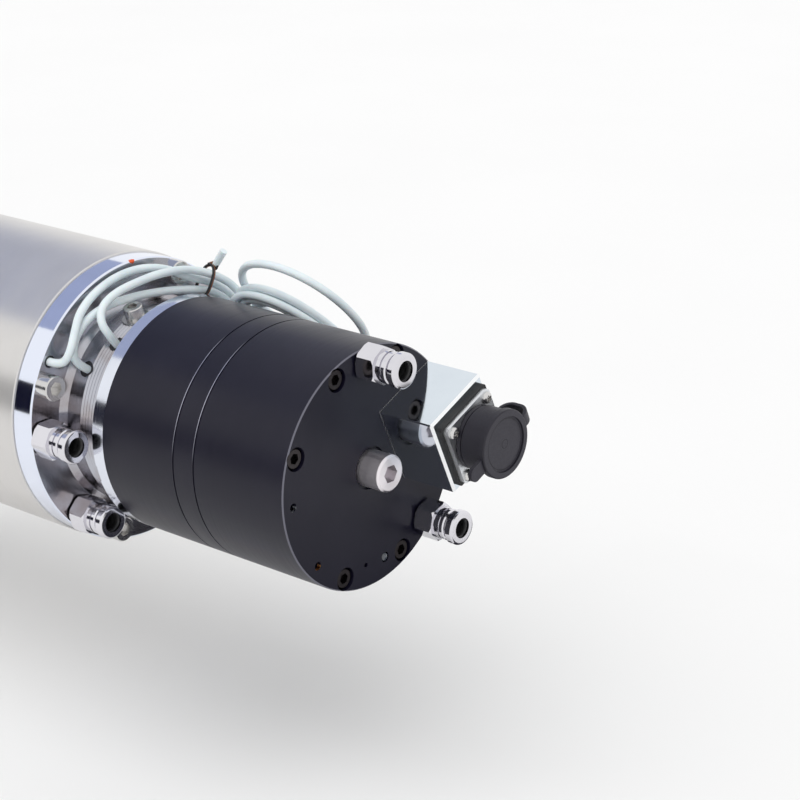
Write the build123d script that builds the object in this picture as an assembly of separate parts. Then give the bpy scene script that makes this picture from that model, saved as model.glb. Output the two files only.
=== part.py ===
from build123d import *
import os
from math import atan2, cos, pi, radians, sin, tan

os.makedirs("parts", exist_ok=True)

# Motor spindle, lengths in millimetres. The spindle axis is X, +X runs from the tool nose to
# the release cylinder, +Z is up. The origin is the middle of the clamped body on the axis.

# Clearances
running_gap = 0.05
assembly_gap = 0.05
soft_gap = 0.3
screw_gap = 0.3

# Housing
body_length = 250.0
body_radius = 75.0
body_wall = 12.0
body_chamfer = 0.5
flange_step = 0.8
flange_chamfer = 0.8
register_length = 6.0
front_flange_length = 20.0
rear_flange_length = 13.0
waist_length = 28.5
waist_radius = 53.0
waist_wall = 10.0
waist_fillet = 3.0
thread_band_length = 16.0
thread_pitch = 2.0
thread_depth = 0.6
bearing_sleeve_radius = 50.0
thread_room = 2.0

# Cooling jacket and motor
jacket_wall = 8.0
channel_width = 10.0
channel_pitch = 17.0
channel_depth = 4.5
channel_count = 9
jacket_seal_reach = 8.0
motor_length = 120.0
air_gap = 0.4
rotor_share = 0.284375  # of the space between shaft and cooling jacket
stator_yoke = 9.5
stator_slots = 24
slot_width = 4.5
slot_lip = 2.0
slot_mouth_width = 1.8
winding_overhang = 20.0
winding_inset = 4.45
winding_gap = 0.5
winding_fillet = 3.0
cage_ring_length = 8.0
cage_ring_step = 2.0

# Shaft
nose_projection = 14.0
nose_radius = 30.0
slinger_radius = 35.0
slinger_length = 5.0
slinger_gap = 1.0
front_seat_radius = 25.0
motor_seat_radius = 23.0
rear_seat_radius = 20.0
shaft_tail_length = 14.4
spring_bore_radius = 16.0
taper_gauge_radius = 15.875
taper_ratio = 7.0 / 24.0 / 2.0
taper_length = 48.4

# Bearings: bore radius, outer radius, width, ball count
front_bearing = (25.0, 40.0, 16.0, 16)
rear_bearing = (20.0, 34.0, 15.0, 14)
ball_share = 0.29
ring_shoulder = 0.6
cage_half_wall = 0.36
cage_side = 1.2
spacer_share = 0.3
front_spacer_length = 6.0
rear_spacer_length = 4.0
bearing_lip = 6.0
bearing_lip_height = 4.5
ball_gap = 0.25
lock_nut_length = 10.0
lock_nut_wall = 8.0
lock_nut_slot = 5.0
cap_ring_length = 7.0
cap_ring_wall = 4.0
cap_ring_pin_radius = 1.5

# Front cover and drive keys
cover_length = 12.0
cover_radius = 56.0
cover_spigot = 3.0
cover_chamfer = 2.0
labyrinth_gap = 0.5
cover_screw_size = 5.0
cover_screw_length = 16.0
cover_screw_sink = 6.0
cover_screw_inset = 8.5
cover_screw_count = 6
front_screw_size = 6.0
front_screw_length = 26.0
front_screw_sink = 7.0
front_screw_inset = 6.2
front_screw_count = 8
key_width = 16.0
key_height = 10.0
key_length = 14.0
key_seat = 7.0
key_inner_radius = 19.0
key_screw_size = 4.0
key_screw_length = 16.0
key_screw_sink = 5.0

# Drawbar and gripper
drawbar_stroke = 8.0
piston_stroke = 9.0
push_gap = 1.05
drawbar_radius = 8.0
gripper_bore_radius = 11.05
gripper_length = 20.0
gripper_socket_radius = 6.3
grip_ball_radius = 3.5
grip_ball_circle = 7.5
grip_ball_travel = 2.6
spring_count = 20
spring_thickness = 2.0
spring_cone = 0.8
spring_inner_radius = 8.3
spring_outer_radius = 15.7
drawbar_nut_length = 14.0
drawbar_tail_radius = 11.0
drawbar_disc_radius = 15.0
drawbar_disc_length = 4.6
drawbar_tail_reach = 5.6

# Release cylinder
adapter_length = 8.0
adapter_spigot = 3.0
adapter_screw_size = 5.0
adapter_screw_sink = 5.5
adapter_screw_grip = 10.0
adapter_screw_count = 6
adapter_notch_step = -8.0
adapter_notch_width = 9.0
adapter_chamfer = 0.6
long_screw_size = 6.0
long_screw_sink = 7.0
long_screw_tip = 2.0
cylinder_radius = 60.0
cylinder_bore_radius = 48.0
cylinder_front_length = 49.4
divider_length = 13.6
cylinder_rear_length = 57.0
end_wall = 16.0
seam_depth = 0.5
seam_width = 0.8
piston_front_length = 30.0
piston_rear_length = 27.5
piston_rest_gap = 1.0
push_rod_radius = 12.0
middle_rod_radius = 10.0
tail_radius = 9.1
tail_projection = 12.5
tail_recess = 1.5
tail_recess_width = 1.4
tail_socket_flats = 8.0
tail_socket_depth = 8.0
seal_radius = 1.6
groove_depth = 2 * seal_radius + 0.4
adapter_seal_offset = 2.0
tail_seal_offset = 5.0

# Rear face pattern, angles in degrees about X from +Y, insets from the cylinder's rim
symmetry_angle = 205.2
cylinder_screw_inset = 6.0
cylinder_screw_steps = (-135.0, -90.0, -45.0, 45.0, 90.0, 135.0)
air_fitting_inset = 6.6
air_fitting_step = 112.1
tapped_hole_inset = 6.8
tapped_hole_step = 20.5
tapped_hole_radius = 2.1
tapped_hole_depth = 12.0
vent_inset = 11.6
vent_angle = -94.3
vent_radius = 1.2
vent_depth = 5.0
plug_inset = 10.5
plug_angle = -78.2
plug_radius = 2.5
plug_rise = 0.6

# Flange pattern, insets from the flange's rim
flange_bolt_size = 8.0
flange_bolt_grip = 20.0
flange_bolt_inset = 6.9
flange_bolt_steps = (-135.0, -45.0, 45.0, 135.0)
coolant_fitting_inset = 8.2
coolant_fitting_step = 22.5

# Screw with its washer on the waist
waist_screw_size = 6.0
waist_screw_length = 8.0
waist_screw_offset = 15.5
waist_screw_angle = 108.0
waist_washer_radius = 7.0
waist_washer_thickness = 1.2
waist_flat_depth = 0.9

# Push-in fitting for 10 mm tube
tube_radius = 5.0
hex_flats = 17.0
hex_length = 10.5
hex_chamfer = 0.9
barrel_radius = 7.8
barrel_length = 6.5
barrel_groove = 1.0
barrel_groove_place = 0.55
socket_floor = 3.0
release_travel = 1.2
release_gap = 1.6
release_radius = 8.6
release_length = 4.4
release_sleeve_radius = 6.2
release_sleeve_length = 7.0
port_thread_radius = 4.85
port_thread_length = 9.0
port_bore_radius = 3.5
fitting_washer = 1.0
washer_radius = 7.6

# Connector box, on the rear face
box_inner_edge = 16.7
box_depth = 39.4
box_width = 42.2
box_height = 31.8
box_wall = 4.0
box_chamfer = 1.2
box_edge = 0.6
box_room_fillet = 3.0
box_floor = 4.0
box_screw_size = 4.0
box_screw_grip = 8.0
box_screw_corner = 4.5
box_pillar_radius = 4.2
box_pillar_length = 12.0
wire_hole_radius = 6.0
wire_hole_depth = 10.0
gasket_side = 35.5
gasket_length = 3.0
plate_side = 33.5
plate_length = 2.5
plate_corner = 2.5
shell_radius = 13.4
shell_wall = 1.8
shell_length = 13.6
pin_radius = 1.6
pin_circle = 5.0
pin_reach = 5.0
insert_depth = 10.0
pin_count = 4
insert_rear = 6.0
pin_rear = 8.0
insert_rim = 3.0
plate_screw_spacing = 26.4
plate_screw_radius = 1.5
plate_screw_head_radius = 2.9
plate_screw_head_height = 2.0
plate_screw_grip = 6.0
cross_slot = (1.8, 0.8, 3.4)
neck_ring_length = 2.0
neck_ring_wall = 2.2
cap_wall = 2.0
cap_skirt_length = 9.5
cap_disc_radius = 16.7
cap_disc_length = 3.4
cap_rim_width = 3.2
cap_rim_height = 0.9
cap_tab_reach = 9.0
cap_tab_width = 7.5
strap_width = 6.0
strap_thickness = 1.5
strap_reach = 6.5

# Sensors in the waist: axial place behind the flange, angle, tip radius
sensor_radius = 4.0
sensor_recess = 1.0
sensor_places = ((9.4, 147.0, 31.0), (19.4, 129.0, 16.6))
probe_inset = 5.2
probe_angle = 150.2
probe_length = 8.0
probe_wall = 1.0
target_radius = 30.0
target_length = 10.0
target_notch = (5.0, 6.0)
target_notch_count = 6

# Sensor leads and their hank, which leans on the release cylinder
lead_radius = 2.1
hank_angle = 40.0
hank_thickness = 13.0
hank_half_length = 45.0
hank_half_height = 52.0
hank_band = 24.0
hank_offset = 16.0
hank_centre_slope = -24.0
loop_half_length = 41.0
loop_half_height = 40.0
loop_band = 8.0
loop_offset = 30.5
loop_centre_slope = 5.0
tie_length = 4.0
tie_wall = 1.5
tie_height = 17.0
tie_width = 9.6
tie_offset = 15.2
tie_angle = 61.0
tie_height_above_waist = 14.0

# Stations along X
body_front = -body_length / 2
body_rear = body_length / 2
bore_radius = body_radius - body_wall
flange_radius = body_radius - flange_step
flange_bolt_circle = flange_radius - flange_bolt_inset
coolant_fitting_circle = flange_radius - coolant_fitting_inset
probe_circle = flange_radius - probe_inset
front_screw_circle = flange_radius - front_screw_inset
cover_screw_circle = cover_radius - cover_screw_inset
cylinder_screw_circle = cylinder_radius - cylinder_screw_inset
air_fitting_circle = cylinder_radius - air_fitting_inset
tapped_hole_circle = cylinder_radius - tapped_hole_inset
vent_circle = cylinder_radius - vent_inset
plug_circle = cylinder_radius - plug_inset
front_flange_front = body_front - front_flange_length
cover_front = front_flange_front - cover_length
nose_face = cover_front - nose_projection
flange_rear = body_rear + rear_flange_length
adapter_front = flange_rear + waist_length
chamber_front = adapter_front + adapter_length
adapter_screw_seat = chamber_front - adapter_screw_sink
adapter_screw_circle = waist_radius - waist_wall / 2
divider_front = chamber_front + cylinder_front_length
divider_rear = divider_front + divider_length
divider_middle = (divider_front + divider_rear) / 2
rear_face = divider_rear + cylinder_rear_length
end_wall_front = rear_face - end_wall
hank_centre_x = chamber_front + hank_offset
loop_centre_x = chamber_front + loop_offset
tie_circle = waist_radius + tie_height_above_waist
stator_radius = bore_radius - jacket_wall
rotor_radius = motor_seat_radius + rotor_share * (stator_radius - motor_seat_radius)
stator_bore = rotor_radius + air_gap
slot_depth = stator_radius - stator_yoke - slot_lip - stator_bore

front_width = front_bearing[2]
front_seat_start = front_flange_front + cover_spigot
front_second = front_seat_start + front_width + front_spacer_length
front_seat_end = front_second + front_width
front_sleeve_end = front_seat_end + bearing_lip
rear_width = rear_bearing[2]
rear_seat_end = body_rear + 1.0
rear_second = rear_seat_end - rear_width
rear_seat_start = rear_second - rear_spacer_length - rear_width
rear_sleeve_end = rear_seat_start - bearing_lip
shaft_rear = flange_rear + shaft_tail_length
drawbar_rear = shaft_rear + drawbar_tail_reach
push_rod_front = drawbar_rear + push_gap

taper_small_radius = taper_gauge_radius - taper_ratio * taper_length
taper_end = nose_face + taper_length
gripper_front = taper_end + drawbar_stroke + 1.6
grip_ball_x = gripper_front + 7.0
grip_ball_open_x = grip_ball_x - drawbar_stroke
grip_recess_radius = grip_ball_circle + grip_ball_travel + grip_ball_radius + soft_gap
grip_slope = grip_ball_travel / drawbar_stroke

drawbar_disc_front = drawbar_rear - drawbar_disc_length
spring_pitch = spring_thickness + spring_cone + 0.05
spring_stack = spring_count * spring_pitch
drawbar_nut_rear = rear_seat_end + 6.0
drawbar_nut_front = drawbar_nut_rear - drawbar_nut_length
spring_seat = drawbar_nut_front - spring_stack

connector_radius = box_inner_edge + box_depth / 2
box_angle = symmetry_angle - 180.0
box_top = rear_face + box_height
gasket_top = box_top + gasket_length
plate_top = gasket_top + plate_length
shell_top = plate_top + shell_length
connector_y = connector_radius * cos(radians(box_angle))
connector_z = connector_radius * sin(radians(box_angle))
cap_start = plate_top + neck_ring_length + 1.1
cap_disc_start = shell_top + soft_gap
cap_end = cap_disc_start + cap_disc_length

hex_corner = hex_flats / 2 / cos(radians(30))
sensor_head = waist_radius - sensor_recess
hank_inner = cylinder_radius + soft_gap


def bar(x0, x1, radius):
    """Round bar on the axis from x0 to x1."""
    return Pos((x0 + x1) / 2, 0, 0) * Rot(0, 90, 0) * Cylinder(radius, x1 - x0)


def ring(x0, x1, outer, inner):
    """Tube on the axis from x0 to x1."""
    return bar(x0, x1, outer) - bar(x0, x1, inner)


def turned(points):
    """Solid of revolution about X from its (x, radius) outline."""
    return revolve(make_face(Polyline(*points, close=True)), axis=Axis.X)


def hex_bar(x0, x1, flats):
    """Hexagonal bar on the axis with a flat towards +Y."""
    outline = Rot(0, 0, 30) * RegularPolygon(flats / 2, 6, major_radius=False)
    return Pos(x0, 0, 0) * Rot(0, 90, 0) * extrude(outline, amount=x1 - x0)


def around(angle, radius):
    """Place on a circle about X, turned so that its own +Y points outwards."""
    across = radius * cos(radians(angle))
    upward = radius * sin(radians(angle))
    return Pos(0, across, upward) * Rot(angle, 0, 0)


def polar(shape, angles, radius):
    """Copies of an axial shape at each angle of a circle."""
    return [around(angle, radius) * shape for angle in angles]


def steps(count, start=0.0):
    """Evenly spaced angles."""
    return [start + 360.0 * i / count for i in range(count)]


def cut_all(shape, tools):
    """Shape with every tool cut out of it at once."""
    return shape - list(tools)


def cap_screw(seat, size, length, head_length=None):
    """Socket head cap screw on the axis, its head behind the seat and its shank towards -X."""
    head = size if head_length is None else head_length
    head_end = seat + head
    solid = bar(seat - length, seat + 0.01, size / 2) + bar(seat, head_end, head_radius(size))
    solid = chamfer(solid.edges().filter_by(GeomType.CIRCLE).group_by(Axis.X)[-1], size * 0.07)
    return solid - hex_bar(head_end - size * 0.5, head_end + 1, socket_flats(size))


def head_radius(size):
    """Head radius of a socket head cap screw."""
    return size * 0.8125


def socket_flats(size):
    """Key size of a socket head cap screw."""
    return size * 0.8


def ring_seal(x, radius, section=seal_radius):
    """O-ring round the axis."""
    return Pos(x, 0, 0) * Rot(0, 90, 0) * Torus(radius, section)


def seal_groove(x, inner, outer, section=seal_radius):
    """Square groove that holds an O-ring."""
    half = section + 0.2
    return ring(x - half, x + half, outer, inner)


def save(name, shapes):
    """Write one node, as one solid or as a group of separate solids."""
    shapes = shapes if isinstance(shapes, list) else [shapes]
    solids = [solid for shape in shapes for solid in shape.solids()]
    export_step(solids[0] if len(solids) == 1 else Compound(children=solids), f"parts/{name}.step")


def body_jacket():
    """Clamped outer tube with its tapped holes at both ends."""
    tube = ring(body_front, body_rear, body_radius, bore_radius)
    edges = tube.edges().filter_by(GeomType.CIRCLE).filter_by(lambda e: e.radius > bore_radius + 1)
    tube = chamfer(edges, body_chamfer)
    rear_depth = flange_bolt_grip + thread_room
    rear_hole = bar(body_rear - rear_depth, body_rear, flange_bolt_size / 2 + assembly_gap)
    front_depth = front_screw_length + front_screw_sink - front_flange_length + thread_room
    front_hole = bar(body_front, body_front + front_depth, front_screw_size / 2 + assembly_gap)
    tube = cut_all(tube, polar(rear_hole, flange_angles(), flange_bolt_circle))
    return cut_all(tube, polar(front_hole, front_screw_angles(), front_screw_circle))


def front_screw_angles():
    """Angles of the front flange's screws."""
    return steps(front_screw_count, 180.0 / front_screw_count)


def flange_angles():
    """Angles of the rear flange bolts."""
    return [symmetry_angle + step for step in flange_bolt_steps]


def cooling_jacket():
    """Sleeve between stator and body with ring channels joined end to end for the coolant."""
    front = body_front + register_length
    rear = body_rear - register_length
    outer = bore_radius - assembly_gap
    sleeve = ring(front, rear, outer, stator_radius)
    first = -channel_pitch * (channel_count - 1) / 2
    for i in range(channel_count):
        middle = first + channel_pitch * i
        channel = ring(
            middle - channel_width / 2, middle + channel_width / 2, outer + 1, outer - channel_depth
        )
        sleeve = sleeve - channel
        if i:
            side = 1 if i % 2 else -1
            link = Pos(middle - channel_pitch / 2, 0, side * outer) * Box(
                channel_pitch, channel_width, channel_depth * 2
            )
            sleeve = sleeve - link
    for x in jacket_seal_places():
        sleeve = sleeve - seal_groove(x, outer - groove_depth, outer + 1)
    return sleeve


def jacket_seal_places():
    """Axial places of the two jacket seals."""
    reach = channel_pitch * (channel_count - 1) / 2 + channel_width / 2 + jacket_seal_reach
    return (-reach, reach)


def stator():
    """Laminated core with open slots, and the windings that fill them."""
    half = motor_length / 2
    slot_middle = Pos(stator_bore + slot_lip + slot_depth / 2, 0)
    mouth = Pos(stator_bore + slot_lip / 2, 0) * Rectangle(2 * slot_lip, slot_mouth_width)
    slot = slot_middle * Rectangle(slot_depth, slot_width)
    bar_section = slot_middle * Rectangle(
        slot_depth - 2 * assembly_gap, slot_width - 2 * assembly_gap
    )
    turns = [Rot(0, 0, angle) for angle in steps(stator_slots)]
    openings = [turn * shape for turn in turns for shape in (slot, mouth)]
    outline = Circle(stator_radius - assembly_gap) - [Circle(stator_bore), *openings]
    copper = [turn * bar_section for turn in turns]
    core = Pos(-half, 0, 0) * Rot(0, 90, 0) * extrude(outline, amount=motor_length)
    bars = Pos(-half - 1, 0, 0) * Rot(0, 90, 0) * extrude(Sketch() + copper, amount=motor_length + 2)
    inner = stator_bore + slot_lip + assembly_gap
    windings = bars
    for side in (-1, 1):
        near, far = sorted((side * (half + winding_gap), side * (half + winding_overhang)))
        hoop = ring(near, far, stator_radius - winding_inset, inner)
        hoop = fillet(hoop.edges().filter_by(GeomType.CIRCLE), winding_fillet)
        windings = windings + hoop
    return core, windings


def front_housing():
    """Front flange with its register and the sleeve of the front bearings."""
    outer = front_bearing[1] + assembly_gap
    lip = front_bearing[1] - bearing_lip_height
    solid = turned(
        [
            (front_flange_front, outer),
            (front_flange_front, flange_radius),
            (body_front, flange_radius),
            (body_front, bore_radius - assembly_gap),
            (body_front + register_length, bore_radius - assembly_gap),
            (body_front + register_length, bearing_sleeve_radius),
            (front_sleeve_end, bearing_sleeve_radius),
            (front_sleeve_end, lip),
            (front_seat_end, lip),
            (front_seat_end, outer),
        ]
    )
    through = bar(front_flange_front, body_front, front_screw_size / 2 + screw_gap)
    seat = front_flange_front + front_screw_sink
    counterbore = bar(front_flange_front, seat, head_radius(front_screw_size) + screw_gap)
    depth = cover_screw_length + cover_screw_sink - cover_length + thread_room
    tapped = bar(front_flange_front, front_flange_front + depth, cover_screw_size / 2 + assembly_gap)
    solid = cut_all(solid, polar(through + counterbore, front_screw_angles(), front_screw_circle))
    return cut_all(solid, polar(tapped, steps(cover_screw_count), cover_screw_circle))


def front_screws():
    """Screws of the front flange and of the front cover, heads towards the nose."""
    flange_screw = mirror(cap_screw(0, front_screw_size, front_screw_length), Plane.YZ)
    flange_screw = Pos(front_flange_front + front_screw_sink, 0, 0) * flange_screw
    cover_screw = mirror(cap_screw(0, cover_screw_size, cover_screw_length), Plane.YZ)
    cover_screw = Pos(cover_front + cover_screw_sink, 0, 0) * cover_screw
    return [
        *polar(flange_screw, front_screw_angles(), front_screw_circle),
        *polar(cover_screw, steps(cover_screw_count), cover_screw_circle),
    ]


def front_cover():
    """Cover that holds the front bearings, with a labyrinth bore round the shaft."""
    bore = nose_radius + labyrinth_gap
    contact = front_bearing[1] - bearing_lip_height
    solid = turned(
        [
            (cover_front, bore),
            (cover_front, cover_radius - cover_chamfer),
            (cover_front + cover_chamfer, cover_radius),
            (front_flange_front, cover_radius),
            (front_flange_front, front_bearing[1]),
            (front_seat_start, front_bearing[1]),
            (front_seat_start, contact),
            (front_flange_front - 2, contact),
            (front_flange_front - 2, bore),
        ]
    )
    hole = bar(cover_front, front_flange_front, cover_screw_size / 2 + screw_gap)
    seat = cover_front + cover_screw_sink
    hole = hole + bar(cover_front, seat, head_radius(cover_screw_size) + screw_gap)
    return cut_all(solid, polar(hole, steps(cover_screw_count), cover_screw_circle))


def bearing(start, sizes):
    """Angular contact bearing: outer ring, inner ring, balls and cage."""
    bore, outer, width, count = sizes
    pitch = (bore + outer) / 2
    ball = (outer - bore) * ball_share
    middle = start + width / 2
    raceway = Pos(middle, 0, 0) * Rot(0, 90, 0) * Torus(pitch, ball + ball_gap)
    outer_ring = ring(start, start + width, outer, pitch + ball * ring_shoulder) - raceway
    inner_ring = ring(start, start + width, pitch - ball * ring_shoulder, bore) - raceway
    reach = ball + cage_side
    wall = ball * cage_half_wall
    cage = ring(middle - reach, middle + reach, pitch + wall, pitch - wall)
    balls = []
    for angle in steps(count):
        place = around(angle, pitch) * Pos(middle, 0, 0)
        balls.append(place * Sphere(ball))
        cage = cage - place * Sphere(ball + 0.1)
    return outer_ring, inner_ring, balls + [cage]


def bearing_pair(first, second, sizes):
    """Two equal bearings, as lists of outer rings, inner rings and rolling sets."""
    outer_a, inner_a, set_a = bearing(first, sizes)
    outer_b, inner_b, set_b = bearing(second, sizes)
    return [outer_a, outer_b], [inner_a, inner_b], set_a + set_b


def spacers():
    """Distance rings between the bearings of each pair, outer and inner."""
    outer = []
    inner = []
    for start, sizes, length in (
        (front_seat_start + front_width, front_bearing, front_spacer_length),
        (rear_seat_start + rear_width, rear_bearing, rear_spacer_length),
    ):
        bore, rim = sizes[0], sizes[1]
        wall = (rim - bore) * spacer_share
        outer.append(ring(start, start + length, rim, rim - wall))
        inner.append(ring(start, start + length, bore + wall, bore))
    return outer, inner


def lock_nuts():
    """Slotted nuts that clamp the inner rings on the shaft."""
    nuts = []
    for start, seat in ((front_seat_end, front_seat_radius), (rear_seat_end, rear_seat_radius)):
        rim = seat + lock_nut_wall
        nut = ring(start, start + lock_nut_length, rim, seat + assembly_gap)
        nut = chamfer(nut.edges().filter_by(GeomType.CIRCLE).group_by(Axis.X)[-1], 0.8)
        slot = Pos(start + lock_nut_length, 0, 0) * Box(lock_nut_length, lock_nut_slot, lock_nut_slot)
        nuts.append(cut_all(nut, polar(slot, steps(4), rim)))
    return nuts


def rear_housing():
    """Rear flange and turned waist with the sleeve of the rear bearings."""
    outer = rear_bearing[1] + assembly_gap
    lip = rear_bearing[1] - bearing_lip_height
    cap_end = rear_seat_end + cap_ring_length
    cap_bore = rear_bearing[1] + cap_ring_wall + assembly_gap
    cavity = waist_radius - waist_wall
    outline = [
        (rear_sleeve_end, lip),
        (rear_sleeve_end, bearing_sleeve_radius),
        (body_rear - register_length, bearing_sleeve_radius),
        (body_rear - register_length, bore_radius - assembly_gap),
        (body_rear, bore_radius - assembly_gap),
        (body_rear, flange_radius - flange_chamfer),
        (body_rear + flange_chamfer, flange_radius),
        (flange_rear - flange_chamfer, flange_radius),
        (flange_rear, flange_radius - flange_chamfer),
        (flange_rear, waist_radius + waist_fillet),
        (flange_rear + waist_fillet, waist_radius),
    ]
    band_start = adapter_front - thread_band_length
    for i in range(int(thread_band_length / thread_pitch)):
        crest = band_start + thread_pitch * i
        outline.append((crest, waist_radius))
        outline.append((crest + thread_pitch / 2, waist_radius - thread_depth))
    outline += [
        (adapter_front, waist_radius),
        (adapter_front, cavity),
        (cap_end, cavity),
        (cap_end, cap_bore),
        (rear_seat_end, cap_bore),
        (rear_seat_end, outer),
        (rear_seat_start, outer),
        (rear_seat_start, lip),
    ]
    solid = turned(outline)
    flat = waist_radius - waist_flat_depth
    seat = bar(flat, flat + waist_radius, waist_washer_radius + screw_gap)
    tapped = bar(flat - waist_screw_length - thread_room, flat + 1, waist_screw_size / 2 + assembly_gap)
    solid = solid - on_waist(waist_screw_offset, waist_screw_angle) * (seat + tapped)
    bolt_hole = bar(body_rear, flange_rear, flange_bolt_size / 2 + screw_gap)
    room = head_radius(flange_bolt_size) + 2 * screw_gap
    head_room = bar(flange_rear, flange_rear + flange_bolt_size + screw_gap, room)
    solid = cut_all(solid, polar(bolt_hole + head_room, flange_angles(), flange_bolt_circle))
    port = bar(flange_rear - port_thread_length - 1, flange_rear, port_thread_radius + assembly_gap)
    fitting_room = bar(flange_rear, adapter_front, hex_corner + assembly_gap)
    solid = cut_all(solid, polar(port + fitting_room, coolant_angles(), coolant_fitting_circle))
    for offset, angle, _ in sensor_places:
        hole = bar(cavity - waist_wall, waist_radius + waist_wall, sensor_radius + assembly_gap)
        solid = solid - on_waist(offset, angle) * hole
    probe_hole = bar(flange_rear - probe_length, flange_rear, lead_radius + probe_wall + assembly_gap)
    solid = solid - around(probe_angle, probe_circle) * probe_hole
    depth = adapter_screw_grip + thread_room
    tapped = bar(adapter_front - depth, adapter_front, adapter_screw_size / 2 + assembly_gap)
    return cut_all(solid, polar(tapped, adapter_screw_angles(), adapter_screw_circle))


def on_waist(offset, angle):
    """Place behind the flange that turns an axial shape so that it points away from the axis."""
    return Pos(flange_rear + offset, 0, 0) * Rot(angle, 0, 0) * Rot(0, 0, 90)


def rear_flange_bolts():
    """Cap screws of the rear flange, and the screw with its washer on the waist."""
    bolt = cap_screw(flange_rear, flange_bolt_size, rear_flange_length + flange_bolt_grip)
    flat = waist_radius - waist_flat_depth
    top = flat + waist_washer_thickness
    screw = cap_screw(top, waist_screw_size, waist_screw_length + waist_washer_thickness)
    washer = ring(flat, top, waist_washer_radius, waist_screw_size / 2 + assembly_gap)
    place = on_waist(waist_screw_offset, waist_screw_angle)
    return [*polar(bolt, flange_angles(), flange_bolt_circle), place * screw, place * washer]


def adapter_screw_angles():
    """Angles of the screws between adapter ring and waist, clear of the long screws."""
    return steps(adapter_screw_count, symmetry_angle - 180.0)


def coolant_angles():
    """Angles of the two coolant fittings on the rear flange."""
    return [symmetry_angle - coolant_fitting_step, symmetry_angle + coolant_fitting_step]


def air_angles():
    """Angles of the two air fittings on the rear face."""
    return [symmetry_angle - air_fitting_step, symmetry_angle + air_fitting_step]


def screw_angles():
    """Angles of the release cylinder's long screws."""
    return [symmetry_angle + step for step in cylinder_screw_steps]


def bearing_cap():
    """Threaded ring that holds the outer rings of the rear bearings."""
    inner = rear_bearing[1] - bearing_lip_height
    rim = rear_bearing[1] + cap_ring_wall
    cap = ring(rear_seat_end, rear_seat_end + cap_ring_length, rim, inner)
    hole = bar(rear_seat_end + cap_ring_length / 2, rear_seat_end + cap_ring_length, cap_ring_pin_radius)
    return cut_all(cap, polar(hole, steps(4, 45.0), (inner + rim) / 2))


def shaft():
    """Hollow shaft with the tool taper, the gripper chamber and the spring chamber."""
    recess_front = grip_ball_open_x - grip_ball_radius - 0.7
    wall_reach = grip_ball_radius / cos(atan2(grip_slope, 1.0)) + ball_gap
    cone_start = grip_ball_x + (grip_ball_circle + wall_reach - gripper_bore_radius) / grip_slope
    cone_end = cone_start - (grip_recess_radius - gripper_bore_radius) / grip_slope
    slinger_rear = cover_front - slinger_gap
    solid = turned(
        [
            (nose_face, taper_gauge_radius),
            (nose_face, nose_radius - 1),
            (nose_face + 1, nose_radius),
            (slinger_rear - slinger_length, nose_radius),
            (slinger_rear - slinger_length, slinger_radius),
            (slinger_rear, slinger_radius),
            (slinger_rear, nose_radius),
            (front_seat_start, nose_radius),
            (front_seat_start, front_seat_radius),
            (front_seat_end + lock_nut_length, front_seat_radius),
            (front_seat_end + lock_nut_length, motor_seat_radius),
            (rear_seat_start, motor_seat_radius),
            (rear_seat_start, rear_seat_radius),
            (shaft_rear, rear_seat_radius),
            (shaft_rear, spring_bore_radius),
            (spring_seat, spring_bore_radius),
            (spring_seat, gripper_bore_radius),
            (cone_start, gripper_bore_radius),
            (cone_end, grip_recess_radius),
            (recess_front, grip_recess_radius),
            (recess_front, gripper_bore_radius),
            (taper_end, gripper_bore_radius),
            (taper_end, taper_small_radius),
        ]
    )
    slot = Pos(nose_face, key_inner_radius + nose_radius / 2, 0)
    slot = slot * Box(key_seat * 2, nose_radius, key_width + 2 * assembly_gap)
    depth = key_seat + key_screw_length - key_length + key_screw_sink + thread_room
    hole = bar(nose_face, nose_face + depth, key_screw_size / 2 + assembly_gap)
    for angle in steps(2):
        solid = solid - Rot(angle, 0, 0) * slot
        solid = solid - around(angle, key_inner_radius + key_height / 2) * hole
    return solid


def drive_keys():
    """Two driving keys screwed into the nose face, and their screws."""
    solids = []
    front = nose_face + key_seat - key_length
    middle = key_inner_radius + key_height / 2
    for angle in steps(2):
        block = Pos(front + key_length / 2, key_height / 2, 0)
        block = block * Box(key_length, key_height - assembly_gap, key_width)
        block = chamfer(block.edges().filter_by(Axis.X), 1.0)
        block = Rot(angle, 0, 0) * Pos(0, key_inner_radius, 0) * block
        hole = bar(front, nose_face + key_seat, key_screw_size / 2 + screw_gap)
        seat = front + key_screw_sink
        hole = hole + bar(front, seat, head_radius(key_screw_size) + screw_gap)
        solids.append(block - around(angle, middle) * hole)
        screw = mirror(cap_screw(0, key_screw_size, key_screw_length), Plane.YZ)
        solids.append(around(angle, middle) * Pos(seat, 0, 0) * screw)
    return solids


def rotor():
    """Rotor core with its two short-circuit rings."""
    half = motor_length / 2
    core = ring(-half, half, rotor_radius, motor_seat_radius)
    end_radius = rotor_radius - cage_ring_step
    front = ring(-half - cage_ring_length, -half, end_radius, motor_seat_radius + 1)
    rear = ring(half, half + cage_ring_length, end_radius, motor_seat_radius + 1)
    return core + front + rear


def sensor_target():
    """Toothed disc at the shaft's rear end, read by the speed sensor."""
    front = shaft_rear - target_length
    disc = ring(front, shaft_rear, target_radius, rear_seat_radius + assembly_gap)
    depth, width = target_notch
    notch = Pos(front + target_length / 2, 0, 0) * Box(2 * target_length, depth, width)
    return cut_all(disc, polar(notch, steps(target_notch_count), target_radius))


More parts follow.
